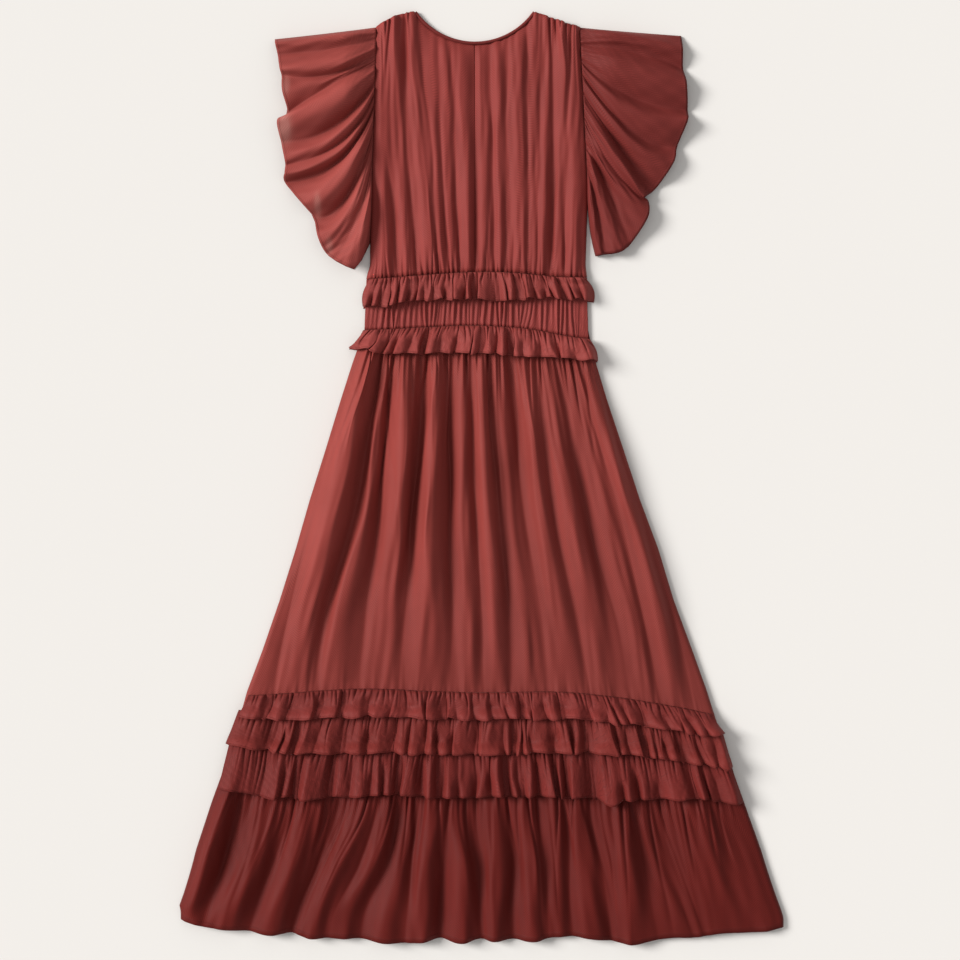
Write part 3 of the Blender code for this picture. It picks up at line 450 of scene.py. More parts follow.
class Relief:
    """Heights of the layers laid so far, on a square raster, so that the next one rests on them."""
    pitch = 2.0
    across = np.arange(-460.0, 460.0, pitch)
    downs = np.arange(-10.0, 1320.0, pitch)

    def __init__(self):
        self.height = np.zeros((len(self.downs), len(self.across)))
        self.cover = self.height

    def lay(self, x, down, height):
        """Adds a piece: its rows are read across, and then down, and the higher of the two stays."""
        rows = []
        for one_x, one_down, one_z in zip(x, down, height):
            order = np.maximum.accumulate(one_x)
            there = (self.across >= order[0]) & (self.across <= order[-1])
            rows.append((np.interp(self.across, order, one_down),
                         np.interp(self.across, order, one_z) * there))
        all_down = np.maximum.accumulate(np.array([row[0] for row in rows]), axis=0)
        all_z = np.array([row[1] for row in rows])
        laid = np.zeros_like(self.height)
        for k in range(len(self.across)):
            laid[:, k] = np.interp(self.downs, all_down[:, k], all_z[:, k], left=0.0, right=0.0)
        self.height = np.maximum(self.height, laid)
        self.cover = self.height
        for smooth, axis in ((np.max, 0), (np.max, 1), (np.mean, 0), (np.mean, 1)):
            self.cover = smooth([np.roll(self.cover, k, axis) for k in (-2, -1, 0, 1, 2)], axis=0)

    def under(self, x, down):
        """The height below each point, between the four nearest places of the raster."""
        i = np.clip((down - self.downs[0]) / self.pitch, 0, len(self.downs) - 1.001)
        k = np.clip((x - self.across[0]) / self.pitch, 0, len(self.across) - 1.001)
        i0, k0 = i.astype(int), k.astype(int)
        down_share, share = i - i0, k - k0
        top = self.cover[i0, k0] * (1 - share) + self.cover[i0, k0 + 1] * share
        low = self.cover[i0 + 1, k0] * (1 - share) + self.cover[i0 + 1, k0 + 1] * share
        return top * (1 - down_share) + low * down_share


relief = Relief()


# Frills

def frill(flutes, start, stop, ends, stand, seed, deep=(), rows=20, pitch=1.3, bulge=(0.0, 0.0), tuck=6.4):
    """A gathered frill. Lines for its gaps and crests run from the seam to the free edge, each with its own
    bow, lean and height. A gap opens some way below the seam, or from the seam itself where it is deep.
    Puckers and narrow tucks run down from the seam. The frill rests on what was laid before it."""
    pucker = 4.3
    merged = 0.36
    nowhere = 1e6
    chance = np.random.default_rng(seed)
    deep = np.array(deep + (nowhere,))
    places = []
    for place, high in zip(flutes["across"], flutes["height"]):
        is_deep = np.abs(place - deep).min() < 4.0
        places += [(place - DEEP_GAP, 0.04), (place + DEEP_GAP, high)] if is_deep else [(place, high)]
    places = np.array(places)
    gaps = np.append(np.insert(places[:, 0], 0, ends[2]), ends[3])
    count = len(gaps)
    tall = np.insert(places[:, 1], 0, 0.6) * (0.72 + 0.45 * chance.random(count - 1))
    side = np.clip(0.5 + 0.33 * chance.normal(size=count - 1), 0.08, 0.94)
    low = merged * chance.random(count)
    begin = 0.5 * chance.random(count)
    dark = np.min(np.abs(gaps[:, None] - deep[None, :]), axis=1) < 7.0
    low[dark], begin[dark] = 0.0, 0.0
    low[0] = low[-1] = 0.0
    spots = np.zeros(2 * count - 1)
    spots[0::2], spots[1::2] = gaps, gaps[:-1] + np.diff(gaps) * side
    even = (spots - ends[2]) / (ends[3] - ends[2])
    seam = even * (ends[1] - ends[0]) + ends[0]
    seam[1::2] = 0.6 * (seam[0::2][:-1] + seam[0::2][1:]) / 2 + 0.4 * seam[1::2]
    bow = 2.2 * chance.normal(size=len(spots))
    bow[0], bow[-1] = bulge
    g = np.linspace(0.0, 1.0, rows)[:, None]
    x = np.maximum.accumulate(seam * (1 - g) + spots * g + bow * np.sin(pi * g), axis=1)
    crest_z = tall * (0.22 + 0.78 * g ** 0.75)
    before = np.insert(crest_z, 0, crest_z[:, 0], axis=1)
    beside = np.minimum(before, np.append(crest_z, crest_z[:, -1:], axis=1))
    opened = ease((g - begin) / 0.4)
    z = np.zeros_like(x)
    z[:, 1::2] = crest_z
    z[:, 0::2] = beside * (0.85 * (1 - opened) + low * opened)
    z[:, 0] = z[:, -1] = 0.0
    shift = np.full(len(spots), -1.2)
    shift[1::2] = 1.5 * chance.normal(size=count - 1)
    shift = fill_columns(x, np.broadcast_to(shift, x.shape), pitch)[1]
    x, z = fill_columns(x, z, pitch, crisp=0.7)
    edge_wave = ripple(x[-1], 0.0, seed + 1, 26.0, 110.0, 1.0, 8)
    depth = start(x) * (1 - g) + stop(x) * g + g ** 2 * (shift + 1.1 * edge_wave)
    top = np.broadcast_to(x[0], x.shape)
    tucks = gathers(top, g * 40.0, seed + 2, 1.15 * tuck, 38.0, ends[:2], 0.66)
    broad = gathers(top, g * 40.0, seed + 3, 2.0 * tuck, 56.0, ends[:2])
    below = relief.under(x, depth)
    z = below + CLEARANCE + stand * z * (0.15 + 0.85 * ease(g / 0.12))
    puff = ease(g / 0.05) * (1 - 0.7 * g)
    z = z + puff * (0.75 * pucker + 0.6 * pucker * broad - pucker * np.minimum(tucks, 1.1))
    z = np.maximum(z, below + LEAST_CLEARANCE)
    return x, depth, z + 0.35 * ripple(x, depth, seed + 4, 7.0, 24.0, 2.0, 18) * g


# Meshes

def arc(points):
    """Length along the columns and rows of a grid of points, from its middle column and first row."""
    across = np.linalg.norm(np.diff(points, axis=1), axis=2)
    along = np.linalg.norm(np.diff(points, axis=0), axis=2)
    u = np.concatenate([np.zeros((len(points), 1)), np.cumsum(across, axis=1)], axis=1)
    u = u - u[:, u.shape[1] // 2][:, None]
    v = np.concatenate([np.zeros((1, points.shape[1])), np.cumsum(along, axis=0)], axis=0)
    return u, v


def pressed(height):
    """Great heights flattened softly, by a hyperbolic tangent, as the cloth's own weight flattens them."""
    more = PRESSED_ROOM * np.tanh((height - PRESSED_FROM) / PRESSED_ROOM)
    return np.where(height > PRESSED_FROM, PRESSED_FROM + more, height)


def metres(x, down, height):
    """Places on the dress as points of a mesh."""
    return np.stack([x + MIDDLE, LENGTH / 2.0 - down, pressed(height)], axis=-1) * 0.001


def add_map(mesh, name, across, down):
    """A UV map with two lengths for each corner of the mesh's faces."""
    mesh.uv_layers.new(name=name).data.foreach_set("uv", np.stack([across, down], axis=1).ravel())


def grid_mesh(name, points, closed, facing_down):
    """Quads over a grid of points. The closed grid repeats the first column where the sheet is a tube. Two
    maps hold the cloth's own lengths, weave from its middle and top, and hem from its middle and edge."""
    rows, columns = points.shape[:2]
    r, c = np.meshgrid(np.arange(rows - 1), np.arange(closed.shape[1] - 1), indexing="ij")
    r, c = r.ravel(), c.ravel()
    row_of = np.stack([r, r + 1, r + 1, r], axis=1)
    column_of = np.stack([c, c, c + 1, c + 1], axis=1)
    if facing_down:
        row_of, column_of = row_of[:, ::-1], column_of[:, ::-1]
    mesh = bpy.data.meshes.new(name)
    mesh.from_pydata(points.reshape(-1, 3).tolist(), [], (row_of * columns + column_of % columns).tolist())
    u, v = arc(closed)
    corners = row_of.ravel(), column_of.ravel()
    add_map(mesh, "weave", u[corners], v[corners])
    add_map(mesh, "hem", np.broadcast_to(u[-1], u.shape)[corners], (v[-1] - v)[corners])
    mesh.shade_smooth()
    return mesh


def placed(name, data):
    """An object for a mesh, a lamp or a camera, put into the scene."""
    made = bpy.data.objects.new(name, data)
    bpy.context.scene.collection.objects.link(made)
    return made


def stand_in(name, node, mesh, finish, thickness=0.0):
    """Puts a mesh into the scene in the place of a node, with a wall where it is a sheet."""
    mesh.materials.append(finish)
    made = placed(name, mesh)
    if thickness:
        wall = made.modifiers.new("wall", "SOLIDIFY")
        wall.thickness = thickness * 0.001
        wall.offset = 0.0
    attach(made, "root")
    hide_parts(node)
    return made


def piece(node, grid, finish, on=None, round_it=False, facing_down=False):
    """Makes a sheet of cloth from a grid of places, with a wall, in the place of its node."""
    name = node + "_cloth"
    points = metres(*grid)
    closed = np.concatenate([points, points[:, :1]], axis=1) if round_it else points
    made = stand_in(name, node, grid_mesh(name, points, closed, facing_down), finish, CLOTH)
    [on + "_cloth"] if on else []
    return made


def back_piece(node, grid):
    """A plain sheet of the hidden side, facing down."""
    piece(node, grid, BACK, facing_down=True)


# Finishes

class Value:
    """A number that varies over a surface. Sums and products of it add Math nodes."""
    def __init__(self, nodes, socket):
        self.nodes, self.socket = nodes, socket

    def __add__(self, other):
        return self.nodes.math("ADD", self, other)

    def __sub__(self, other):
        return self.nodes.math("SUBTRACT", self, other)

    def __rsub__(self, other):
        return self.nodes.math("SUBTRACT", other, self)

    def __mul__(self, other):
        return self.nodes.math("MULTIPLY", self, other)

    __radd__, __rmul__ = __add__, __mul__


class Finish:
    """One material and its nodes."""
    def __init__(self, name):
        self.material = bpy.data.materials.new(name)
        self.material.use_nodes = True
        self.tree = self.material.node_tree
        self.shader = self.tree.nodes["Principled BSDF"]

    def add(self, kind, settings=None, values=None, output=0):
        node = self.tree.nodes.new(kind)
        for key, value in (settings or {}).items():
            setattr(node, key, value)
        for key, value in (values or {}).items():
            self.set(node.inputs[key], value)
        return Value(self, node.outputs[output])

    def set(self, socket, value):
        if isinstance(value, Value):
            self.tree.links.new(value.socket, socket)
        else:
            socket.default_value = value

    def shader_values(self, **values):
        for key, value in values.items():
            self.set(self.shader.inputs[key.replace("_", " ")], value)

    def math(self, operation, *values, clamped=False):
        """A Math node's result, kept between 0 and 1 where it is clamped."""
        settings = {"operation": operation, "use_clamp": clamped}
        return self.add("ShaderNodeMath", settings, dict(enumerate(values)))

    def split(self, vector):
        """The three numbers of a vector."""
        first = self.add("ShaderNodeSeparateXYZ", {}, {0: vector})
        return [Value(self, output) for output in first.socket.node.outputs]

    def times(self, colour, red, green, blue):
        """A colour with its red, green and blue each taken a number of times."""
        return self.mix(1.0, colour, (red, green, blue, 1.0), "MULTIPLY")

    def mix(self, factor, first, second, blend="MIX"):
        return self.add("ShaderNodeMix", {"data_type": "RGBA", "blend_type": blend},
                        {0: factor, 6: first, 7: second}, 2)

    def ramp(self, value, low, high):
        """0 below low, 1 above high, and smooth between."""
        return self.add("ShaderNodeMapRange", {"interpolation_type": "SMOOTHSTEP"},
                        {"Value": value, "From Min": low, "From Max": high})


# The width of a herringbone stripe, the pitch of its twill lines and that of the stitches, in metres
HERRINGBONE = 0.0085
TWILL = 0.0034
STITCH = 0.0026


def cloth_finish(name, colour, lighter, darker, hemmed=0.0, weave=1.0, sheer=False, slope=(0.0, 0.0),
                 crest=(0.0, 0.0)):
    """Herringbone viscose: twill lines that turn at each stripe, a soft sheen, slight streaks of the
    yarn, and where there is a free edge, a narrow hem with its line of stitches. Light and shade are
    painted into the colour as well: painted light that falls off evenly across and down each piece,
    painted highlight on crests and painted shade in valleys by the height above the crest's middle, and
    painted light coming through sheer places, which show paler."""
    f = Finish(name)
    place = f.add("ShaderNodeUVMap", {"uv_map": "weave"})
    u, v, _ = f.split(place)
    turn = f.math("PINGPONG", u + 10.0 * HERRINGBONE, HERRINGBONE)
    line = f.math("SINE", (turn + v) * (2 * pi / TWILL))
    stripe = f.math("SINE", u * (pi / HERRINGBONE))
    spot = f.add("ShaderNodeTexCoord", output=3)
    cloud = f.add("ShaderNodeTexNoise", {}, {"Vector": spot, "Scale": 9.0, "Detail": 4.0, "Roughness": 0.6})
    stretched = f.add("ShaderNodeMapping", {}, {"Vector": place, "Scale": (900.0, 70.0, 1.0)})
    yarn = f.add("ShaderNodeTexNoise", {}, {"Vector": stretched, "Scale": 1.0, "Detail": 2.0}) - 0.5
    base = f.mix(0.55, f.mix(f.ramp(cloud, 0.25, 0.75), darker, lighter), colour)
    # The height of each point paints crests lighter and valleys darker: painted highlight and painted shade.
    across, along, high = f.split(spot)
    weave_and_painted_light = line * (0.30 * weave) + stripe * (0.06 * weave) + yarn * 0.36 + 0.5
    # Painted light on the weave: lighter towards the upper left of each piece, darker away from it.
    weave_and_painted_light = weave_and_painted_light + across * slope[0] + along * slope[1] + (high - crest[0]) * crest[1]
    weave_and_painted_light = f.math("MULTIPLY", weave_and_painted_light, 1.0, clamped=True)
    # Darker and lighter copies of the cloth's colour, picked by the weave and by the painted light and
    # shade.
    base = f.mix(weave_and_painted_light, f.times(base, 0.74, 0.72, 0.72), f.times(base, 1.26, 1.28, 1.28))
    height = line * 0.00005 + yarn * 0.00007
    # Sheer places are painted paler: painted light from the pale floor coming through the cloth.
    if sheer:
        see_through_light = f.add("ShaderNodeAttribute", {"attribute_name": "see_through_light"}, output=2)
        base = f.mix(see_through_light * (line * 0.12 + 0.72), base, (0.52, 0.235, 0.20, 1.0))
    if hemmed:
        edge_along, away, _ = f.split(f.add("ShaderNodeUVMap", {"uv_map": "hem"}))
        rolled = 1.0 - f.ramp(away, hemmed * 0.75, hemmed)
        base = f.mix(rolled * 0.30, base, f.times(base, 0.62, 0.58, 0.58))
        thread = f.math("SINE", edge_along * (2 * pi / STITCH))
        near = f.math("COMPARE", away, hemmed * 0.86, 0.00035)
        height = height + rolled * 0.0004 - near * (thread + 1.0) * 0.00012
    bump = f.add("ShaderNodeBump", {}, {"Strength": 1.0, "Distance": 1.0, "Height": height})
    f.shader_values(Base_Color=base, Roughness=yarn * 0.2 + 0.62, Normal=bump, Sheen_Weight=0.07,
                    Sheen_Roughness=0.4, Sheen_Tint=(1.0, 0.35, 0.3, 1.0), Specular_IOR_Level=0.13)
    return f.material


def toned(name, red, green, blue, **more):
    """A finish of the cloth in one tone, with its lighter and darker cloudings."""
    lighter = (red * 1.16, green * 1.22, blue * 1.24, 1.0)
    darker = (red * 0.84, green * 0.80, blue * 0.78, 1.0)
    return cloth_finish(name, (red, green, blue, 1.0), lighter, darker, **more)


# The colours get darker from the bodice down to the hem, and the right sleeve's is far darker than the
# left's: painted shade, for the light that falls off down the dress and away from the left.
BODICE = toned("herringbone_bodice", 0.240, 0.0375, 0.0320, slope=(-0.9, 0.0), crest=(0.007, 9.0))
WAIST = toned("herringbone_waist", 0.262, 0.0432, 0.0378, crest=(0.006, 35.0))
WAIST_FRILL = toned("herringbone_waist_frill", 0.222, 0.0372, 0.0322, hemmed=0.0028, crest=(0.013, 32.0))
SKIRT_CLOTH = toned("herringbone_skirt", 0.218, 0.0345, 0.0282, slope=(-0.9, 0.6), crest=(0.012, 19.0))
TIER_CLOTHS = [
    toned("herringbone_tier_1", 0.165, 0.0230, 0.0196, hemmed=0.003, crest=(0.017, 34.0)),
    toned("herringbone_tier_2", 0.156, 0.0203, 0.0168, hemmed=0.003, crest=(0.018, 30.0)),
    toned("herringbone_tier_3", 0.139, 0.0163, 0.0136, hemmed=0.003, crest=(0.018, 30.0)),
]
HEM_CLOTH = toned("herringbone_hem", 0.108, 0.0093, 0.0070, hemmed=0.008, slope=(-0.35, 0.0),
                  crest=(0.011, 20.0))
SLEEVE_LEFT_CLOTH = toned("herringbone_sleeve_left", 0.278, 0.0520, 0.0438, hemmed=0.004, sheer=True,
                          crest=(0.016, 26.0))
SLEEVE_RIGHT_CLOTH = toned("herringbone_sleeve_right", 0.158, 0.0230, 0.0197, hemmed=0.004, sheer=True,
                           crest=(0.016, 10.0))
BACK = toned("herringbone_back", 0.19, 0.029, 0.025, hemmed=0.004)
BINDING = toned("bias_binding", 0.16, 0.024, 0.021, weave=0.6)


# The dress

def front_panel(node, grid, finish, seed, strength, on):
    """Leans a panel's folds, keeps them above the hidden side, and lays them for the pieces above."""
    x, down, z = grid
    x = lean(x, z, seed, strength)
    z = np.maximum(z, STEP + CLOTH)
    relief.lay(x, down, z)
    piece(node, (x, down, z), finish, on=on)
    return x


def bodice():
    """Two front panels that meet at the centre seam: main folds, with puckers and narrow tucks that run
    down from the shoulders and up from the waist, and lower folds below the neckline."""
    foot = level(WAIST_TOP, -GAP)
    rows = fine_rows([
        (bodice_top, 0.0, 0.5),
        (between(bodice_top, foot, 0.12), 0.0, 1.0),
        (between(bodice_top, foot, 0.3), 0.0, 0.82),
        (between(bodice_top, foot, 0.5), 0.0, 0.88),
        (between(bodice_top, foot, 0.72), 0.0, 1.0),
        (level(WAIST_TOP, -40), 0.0, 1.05),
        (level(WAIST_TOP, -14), 0.4, 0.8),
        (foot, STEP, 0.4),
    ], 5.5)
    half_seam = 0.2
    shoulders = (-152.0, 137.0)
    waistline = (-160.0, 145.0)
    for name, folds, left, right, tapered, seed in (
        ("bodice_front_left", BODICE_LEFT, left_side, straight(SEAM_X - half_seam), (True, False), 11),
        ("bodice_front_right", BODICE_RIGHT, straight(SEAM_X + half_seam), right_side, (False, True), 12),
    ):
        x, down, z = panel(folds, BODICE_STATIONS, rows, left, right, BODICE_FOLD, 1.7, tapered)
        to_waist = level(WAIST_TOP)(x) - down
        from_top = np.clip(down - bodice_top(x), 0.0, None)
        high, low = x[2][None, :], x[-1][None, :]
        hold = np.minimum(1.0, np.minimum(x - x[:, :1], x[:, -1:] - x) / 10.0)
        outer = hold * np.clip((np.abs(x - SEAM_X) - 75.0) / 30.0, 0.0, 1.0)
        eased = 0.3 + 0.7 * ease(from_top / 18.0)
        z = STEP + CLOTH + (z - STEP - CLOTH) * np.where(np.abs(x - SEAM_X) < NECK_HALF_WIDTH, eased, 1.0)
        z = z + 0.55 * ripple(x[len(x) // 2][None, :], down, seed, 9.0, 30.0, 10.0) * hold
        z = z + 2.6 * gathers(low, to_waist, seed + 20, 6.0, 75.0, waistline) * hold
        z = z + 4.2 * gathers(high, from_top, seed + 30, 8.0, 105.0, shoulders) * outer
        z = z + 1.8 * gathers(high, from_top, seed + 50, 5.0, 40.0, shoulders) * outer
        z = z - 2.6 * gathers(low, to_waist, seed + 60, 7.5, 95.0, waistline, 0.6) * hold
        z = z - 4.0 * gathers(high, from_top, seed + 70, 11.0, 90.0, shoulders, 0.55) * outer
        front_panel(name, (x, down, z), BODICE, seed + 40, 0.2, "bodice_back")
    back_piece("bodice_back", flat_panel([(bodice_top, 0.0), (foot, 0.0)], 14.0, 90, 21))


def flat_panel(lines, pitch, columns, seed):
    """A plain panel of the hidden side, between rows given with their lift: pressed flat, with low soft
    folds that stand towards the inside."""
    rows = fine_rows([(line, lift, 1.0) for line, lift in lines], pitch)
    t = np.linspace(0.0, 1.0, columns + 1)
    x = edge_places(rows, left_side)[:, None] * (1 - t) + edge_places(rows, right_side)[:, None] * t
    down = np.stack([row[0](across) for row, across in zip(rows, x)])
    wave = ripple(x[len(x) // 2][None, :], down, seed, 16.0, 60.0, 8.0)
    press = np.clip(wave, 0.0, 1.0) * 0.5 * kept_sides(x, 10)
    lifts = np.array([row[1] for row in rows])[:, None]
    return x, down, lifts + UNDERSIDE + press


def flat_frill(start, stop, ends, seed, lift=0.0):
    """A frill of the hidden side, pressed flat under the dress in low pleats, and lifted at its seam."""
    rows = 7
    pitch = 4.0
    g = np.linspace(0.0, 1.0, rows)[:, None]
    t = np.linspace(0.0, 1.0, int((ends[3] - ends[2]) / pitch) + 1)
    x = (ends[0] * (1 - g) + ends[2] * g) * (1 - t) + (ends[1] * (1 - g) + ends[3] * g) * t
    down = start(x) * (1 - g) + stop(x) * g
    pleat = gathers(np.broadcast_to(x[-1], x.shape), (1 - g) * 30.0, seed, 14.0, 60.0, ends[2:])
    return x, down, UNDERSIDE + lift * (1 - ease(g * 2.2)) + 0.45 * np.clip(pleat, 0, 1)


def neck_binding(node, base, high):
    """A narrow band that follows the neckline: its section is a low round roll carried along the arc."""
    turn = np.arccos((NECK_RADIUS - NECK_DEPTH) / NECK_RADIUS)
    angle = np.linspace(-turn, turn, 181)[None, :]
    around = np.linspace(0.0, 2 * pi, 13)[:-1][:, None]
    out = NECK_RADIUS + BINDING_WIDTH / 2 - np.cos(around) * BINDING_WIDTH / 2
    rise = base + high / 2 * (1 + np.sign(np.sin(around)) * np.abs(np.sin(around)) ** 0.7)
    rise = rise + 0.12 * ripple(angle * NECK_RADIUS, 0.0, 5, 9.0, 30.0, 1.0) * (np.sin(around) > 0)
    points = metres(SEAM_X + out * np.sin(angle), NECK_DEPTH - NECK_RADIUS + out * np.cos(angle), rise)
    stand_in(node + "_roll", node, tube_mesh(node + "_roll", points), BINDING)


def tube_mesh(name, points):
    """A closed bar: rings of points joined along their length, with a cap of one face at each end."""
    rings, columns = points.shape[:2]
    r, c = np.meshgrid(np.arange(rings), np.arange(columns - 1), indexing="ij")
    r, c = r.ravel(), c.ravel()
    after = (r + 1) % rings
    one, two = r * columns + c, after * columns + c
    quads = np.stack([one, one + 1, two + 1, two], 1)
    cap = np.arange(rings) * columns
    caps = [cap.tolist(), (cap[::-1] + columns - 1).tolist()]
    mesh = bpy.data.meshes.new(name)
    mesh.from_pydata(points.reshape(-1, 3).tolist(), [], quads.tolist() + caps)
    flat = points.reshape(-1, 3)
    spots = np.zeros(len(mesh.loops), dtype=np.int32)
    mesh.loops.foreach_get("vertex_index", spots)
    add_map(mesh, "weave", flat[spots, 0], flat[spots, 1] + flat[spots, 2])
    mesh.shade_smooth()
    return mesh


def waist():
    """The elasticated waist: close round folds all the way down, and fine puckers from both seams."""
    upper, lower = level(WAIST_TOP, GAP), level(WAIST_FOOT, -GAP)
    ends = (left_side(375.0), right_side(375.0), left_side(445.0), right_side(445.0))
    span = (-166.0, 146.0)
    x = frill(WAIST_PUCKERS, upper, lower, ends, 0.0, 31, rows=18, pitch=1.1)[0]
    g = np.linspace(0.0, 1.0, len(x))[:, None]
    down = upper(x) * (1 - g) + lower(x) * g
    middle = x[9][None, :]
    folds = gathers(middle + 2.0 * g, g * 0.0, 33, 7.0, 100.0, span)
    fine = gathers(middle, g * 70.0, 34, 5.0, 55.0, span)
    fine = fine + gathers(middle, (1 - g) * 70.0, 35, 5.0, 55.0, span)
    fullness = kept_sides(x, 14) * (0.45 + 0.55 * np.sin(pi * g))
    z = 2 * STEP + CLOTH + 0.3 + (3.4 * folds + 1.6 * fine) * fullness
    relief.lay(x, down, z)
    piece("waist_panel_front", (x, down, z), WAIST, on="waist_panel_back")
    back_piece("waist_panel_back", flat_panel([(upper, STEP), (lower, STEP)], 10.0, 90, 36))


def waist_ruffles():
    """The two frills sewn on the seams above and below the waist."""
    for name, seam, edge, flutes, ends, seed, deep, bulge, on in (
        ("waist_ruffle_upper", WAIST_TOP, UPPER_EDGE, UPPER_FLUTES, (-158, 141, -168, 154), 41,
         (-12, 20, 113), (-5.0, 6.0), "waist_panel_front"),
        ("waist_ruffle_lower", WAIST_FOOT, LOWER_EDGE, LOWER_FLUTES, (-167, 147, -188, 159), 51,
         (-87, -5, 37), (2.0, 4.0), "skirt_front"),
    ):
        start, stop = level(seam, GAP), level(edge)
        grid = frill(flutes, start, stop, ends, 14.0, seed, deep, rows=22, pitch=0.8, bulge=bulge, tuck=5.4)
        piece(name + "_front", grid, WAIST_FRILL, on=on)
        back_piece(name + "_back", flat_frill(start, stop, ends, seed + 5))


def skirt():
    """The upper skirt: folds that widen from the waist to the frills, with puckers and narrow tucks below
    the waist and puckers above the frills. The folds of its left part stand higher."""
    top, under = level(WAIST_FOOT, GAP), level(LOWER_EDGE, 2)
    after, before = level(LOWER_EDGE, 14), level(TIER_1_SEAM, -12)
    key = [(top, STEP, 0.08), (under, STEP, 0.55), (after, 0.3, 0.7)]
    key += [(between(after, before, share), 0.0, fold) for share, fold in
            ((0.12, 1.0), (0.3, 1.12), (0.5, 1.05), (0.7, 1.0), (0.87, 0.8))]
    key += [(before, 0.4, 0.45), (level(TIER_1_SEAM, -2), 2 * STEP, 0.22),
            (level(TIER_2_EDGE, -8.3), 2 * STEP, 0.2)]
    x, down, z = panel(SKIRT, SKIRT_STATIONS, fine_rows(key, 6.5), left_side, right_side, SKIRT_FOLD, 2.0)
    high = x[6][None, :]
    hold = kept_sides(x, 20)
    to_tiers = np.clip(level(TIER_1_SEAM)(x) - down, 0.0, None)
    from_waist = np.clip(down - level(LOWER_EDGE)(x), 0.0, None)
    z = z + 0.8 * ripple(x[len(x) // 2][None, :], down, 61, 12.0, 45.0, 10.0) * hold
    z = z + 3.0 * gathers(high, from_waist, 62, 7.0, 150.0, (-170.0, 150.0)) * hold
    z = z - 4.0 * gathers(high, from_waist, 65, 13.0, 190.0, (-165.0, 145.0), 0.45) * hold
    z = z + 1.0 * gathers(x[-1][None, :], to_tiers, 63, 10.0, 40.0, (-340.0, 330.0)) * hold
    left_part = np.clip((SEAM_X - x) / 70.0, 0.0, 1.0) * ease((down - 440.0) / 60.0)
    z = z * (1.0 + 0.26 * left_part * ease((880.0 - down) / 150.0) * hold)
    front_panel("skirt_front", (x, down, z), SKIRT_CLOTH, 64, 0.22, "skirt_back")
    back_piece("skirt_back", flat_panel([row[:2] for row in key[:3] + key[-3:]], 16.0, 110, 66))


def tier_ruffles():
    """The three frills above the hem tier. The lowest is laid first, because the next lies over it."""
    for name, flutes, start, stop, ends, stand, seed, lift, finish, on, deep in (
        ("tier_ruffle_3", TIER_3_FLUTES, level(TIER_2_EDGE, -9), level(TIER_3_EDGE), (-352, 342, -369, 361),
         15.0, 71, STEP, TIER_CLOTHS[2], "hem_tier_front",
         (-262, -214, -120, -62, 33, 55, 104, 118, 154, 298)),
        ("tier_ruffle_2", TIER_2_FLUTES, level(TIER_1_EDGE, -9), level(TIER_2_EDGE), (-341, 331, -359, 346),
         14.0, 81, STEP, TIER_CLOTHS[1], "skirt_front", (-301, -268, -196, -127, -10, 42, 143, 227, 277)),
        ("tier_ruffle_1", TIER_1_FLUTES, level(TIER_1_SEAM, GAP), level(TIER_1_EDGE), (-327, 316, -341, 336),
         12.5, 91, 0.0, TIER_CLOTHS[0], "skirt_front", (-306, -274, -233, -201, -54, 54, 111, 226)),
    ):
        grid = frill(flutes, start, stop, ends, stand, seed, deep, rows=24, pitch=1.25)
        relief.lay(*grid)
        piece(name + "_front", grid, finish, on=on)
        back_piece(name + "_back", flat_frill(start, stop, ends, seed + 5, lift))


def hem_share(down):
    """How far a place follows the hem's waves: from 0 to 1 by the power of 1.5."""
    return np.clip((down - HEM_WAVE_FROM) / (HEM_FOOT - HEM_WAVE_FROM), 0.0, 1.0) ** 1.5


def hem_tier():
    """The bottom tier: deep folds down to a wavy hem that hangs lower below each ridge, with puckers and
    narrow tucks under the frills."""
    key = [
        (level(TIER_2_EDGE, GAP - 8.0), 2 * STEP, 0.19),
        (level(TIER_2_EDGE, 3), 2 * STEP, 0.22),
        (level(TIER_2_EDGE, 14), STEP, 0.27),
        (level(TIER_3_EDGE, 2), STEP, 0.5),
        (level(TIER_3_EDGE, 16), 0.2, 0.78),
        (straight(HEM_WAVE_FROM), 0.0, 1.0),
        (straight(1245.0), 0.0, 1.0),
        (straight(HEM_FOOT), 0.0, 0.85),
    ]
    x, down, z = panel(HEM, HEM_STATIONS, fine_rows(key, 6.0), left_side, right_side, HEM_FOLD, 2.2)
    corners = np.concatenate([HEM_CORNERS[:1], HEM["end"], HEM_CORNERS[1:]])
    marks = np.concatenate([[left_side(HEM_FOOT)], HEM["x5"], [right_side(HEM_FOOT)]])
    edge = np.convolve(np.pad(np.interp(x[-1], marks, corners), 4, "edge"), np.ones(9) / 9, "valid")
    down = down + (edge - HEM_FOOT) * hem_share(down)
    high = x[14][None, :]
    hold = kept_sides(x, 20)
    away = np.clip(down - level(TIER_3_EDGE)(x), 0.0, None)
    z = z + 0.8 * ripple(x[len(x) // 2][None, :], down, 101, 12.0, 45.0, 8.0) * hold
    z = z + 2.6 * gathers(high, away, 102, 9.0, 100.0, (-380.0, 370.0)) * hold
    z = z - 4.0 * gathers(high, away, 103, 17.0, 150.0, (-380.0, 370.0), 0.42) * hold
    x = front_panel("hem_tier_front", (x, down, z), HEM_CLOTH, 104, 0.2, "hem_tier_back")
    back_x, back_down, back_z = flat_panel([row[:2] for row in key[:5] + key[-1:]], 14.0, 110, 106)
    higher_up = 2.0
    lower = np.interp(back_x, x[-1], down[-1]) - HEM_FOOT - higher_up
    back_piece("hem_tier_back", (back_x, back_down + lower * hem_share(back_down), back_z))


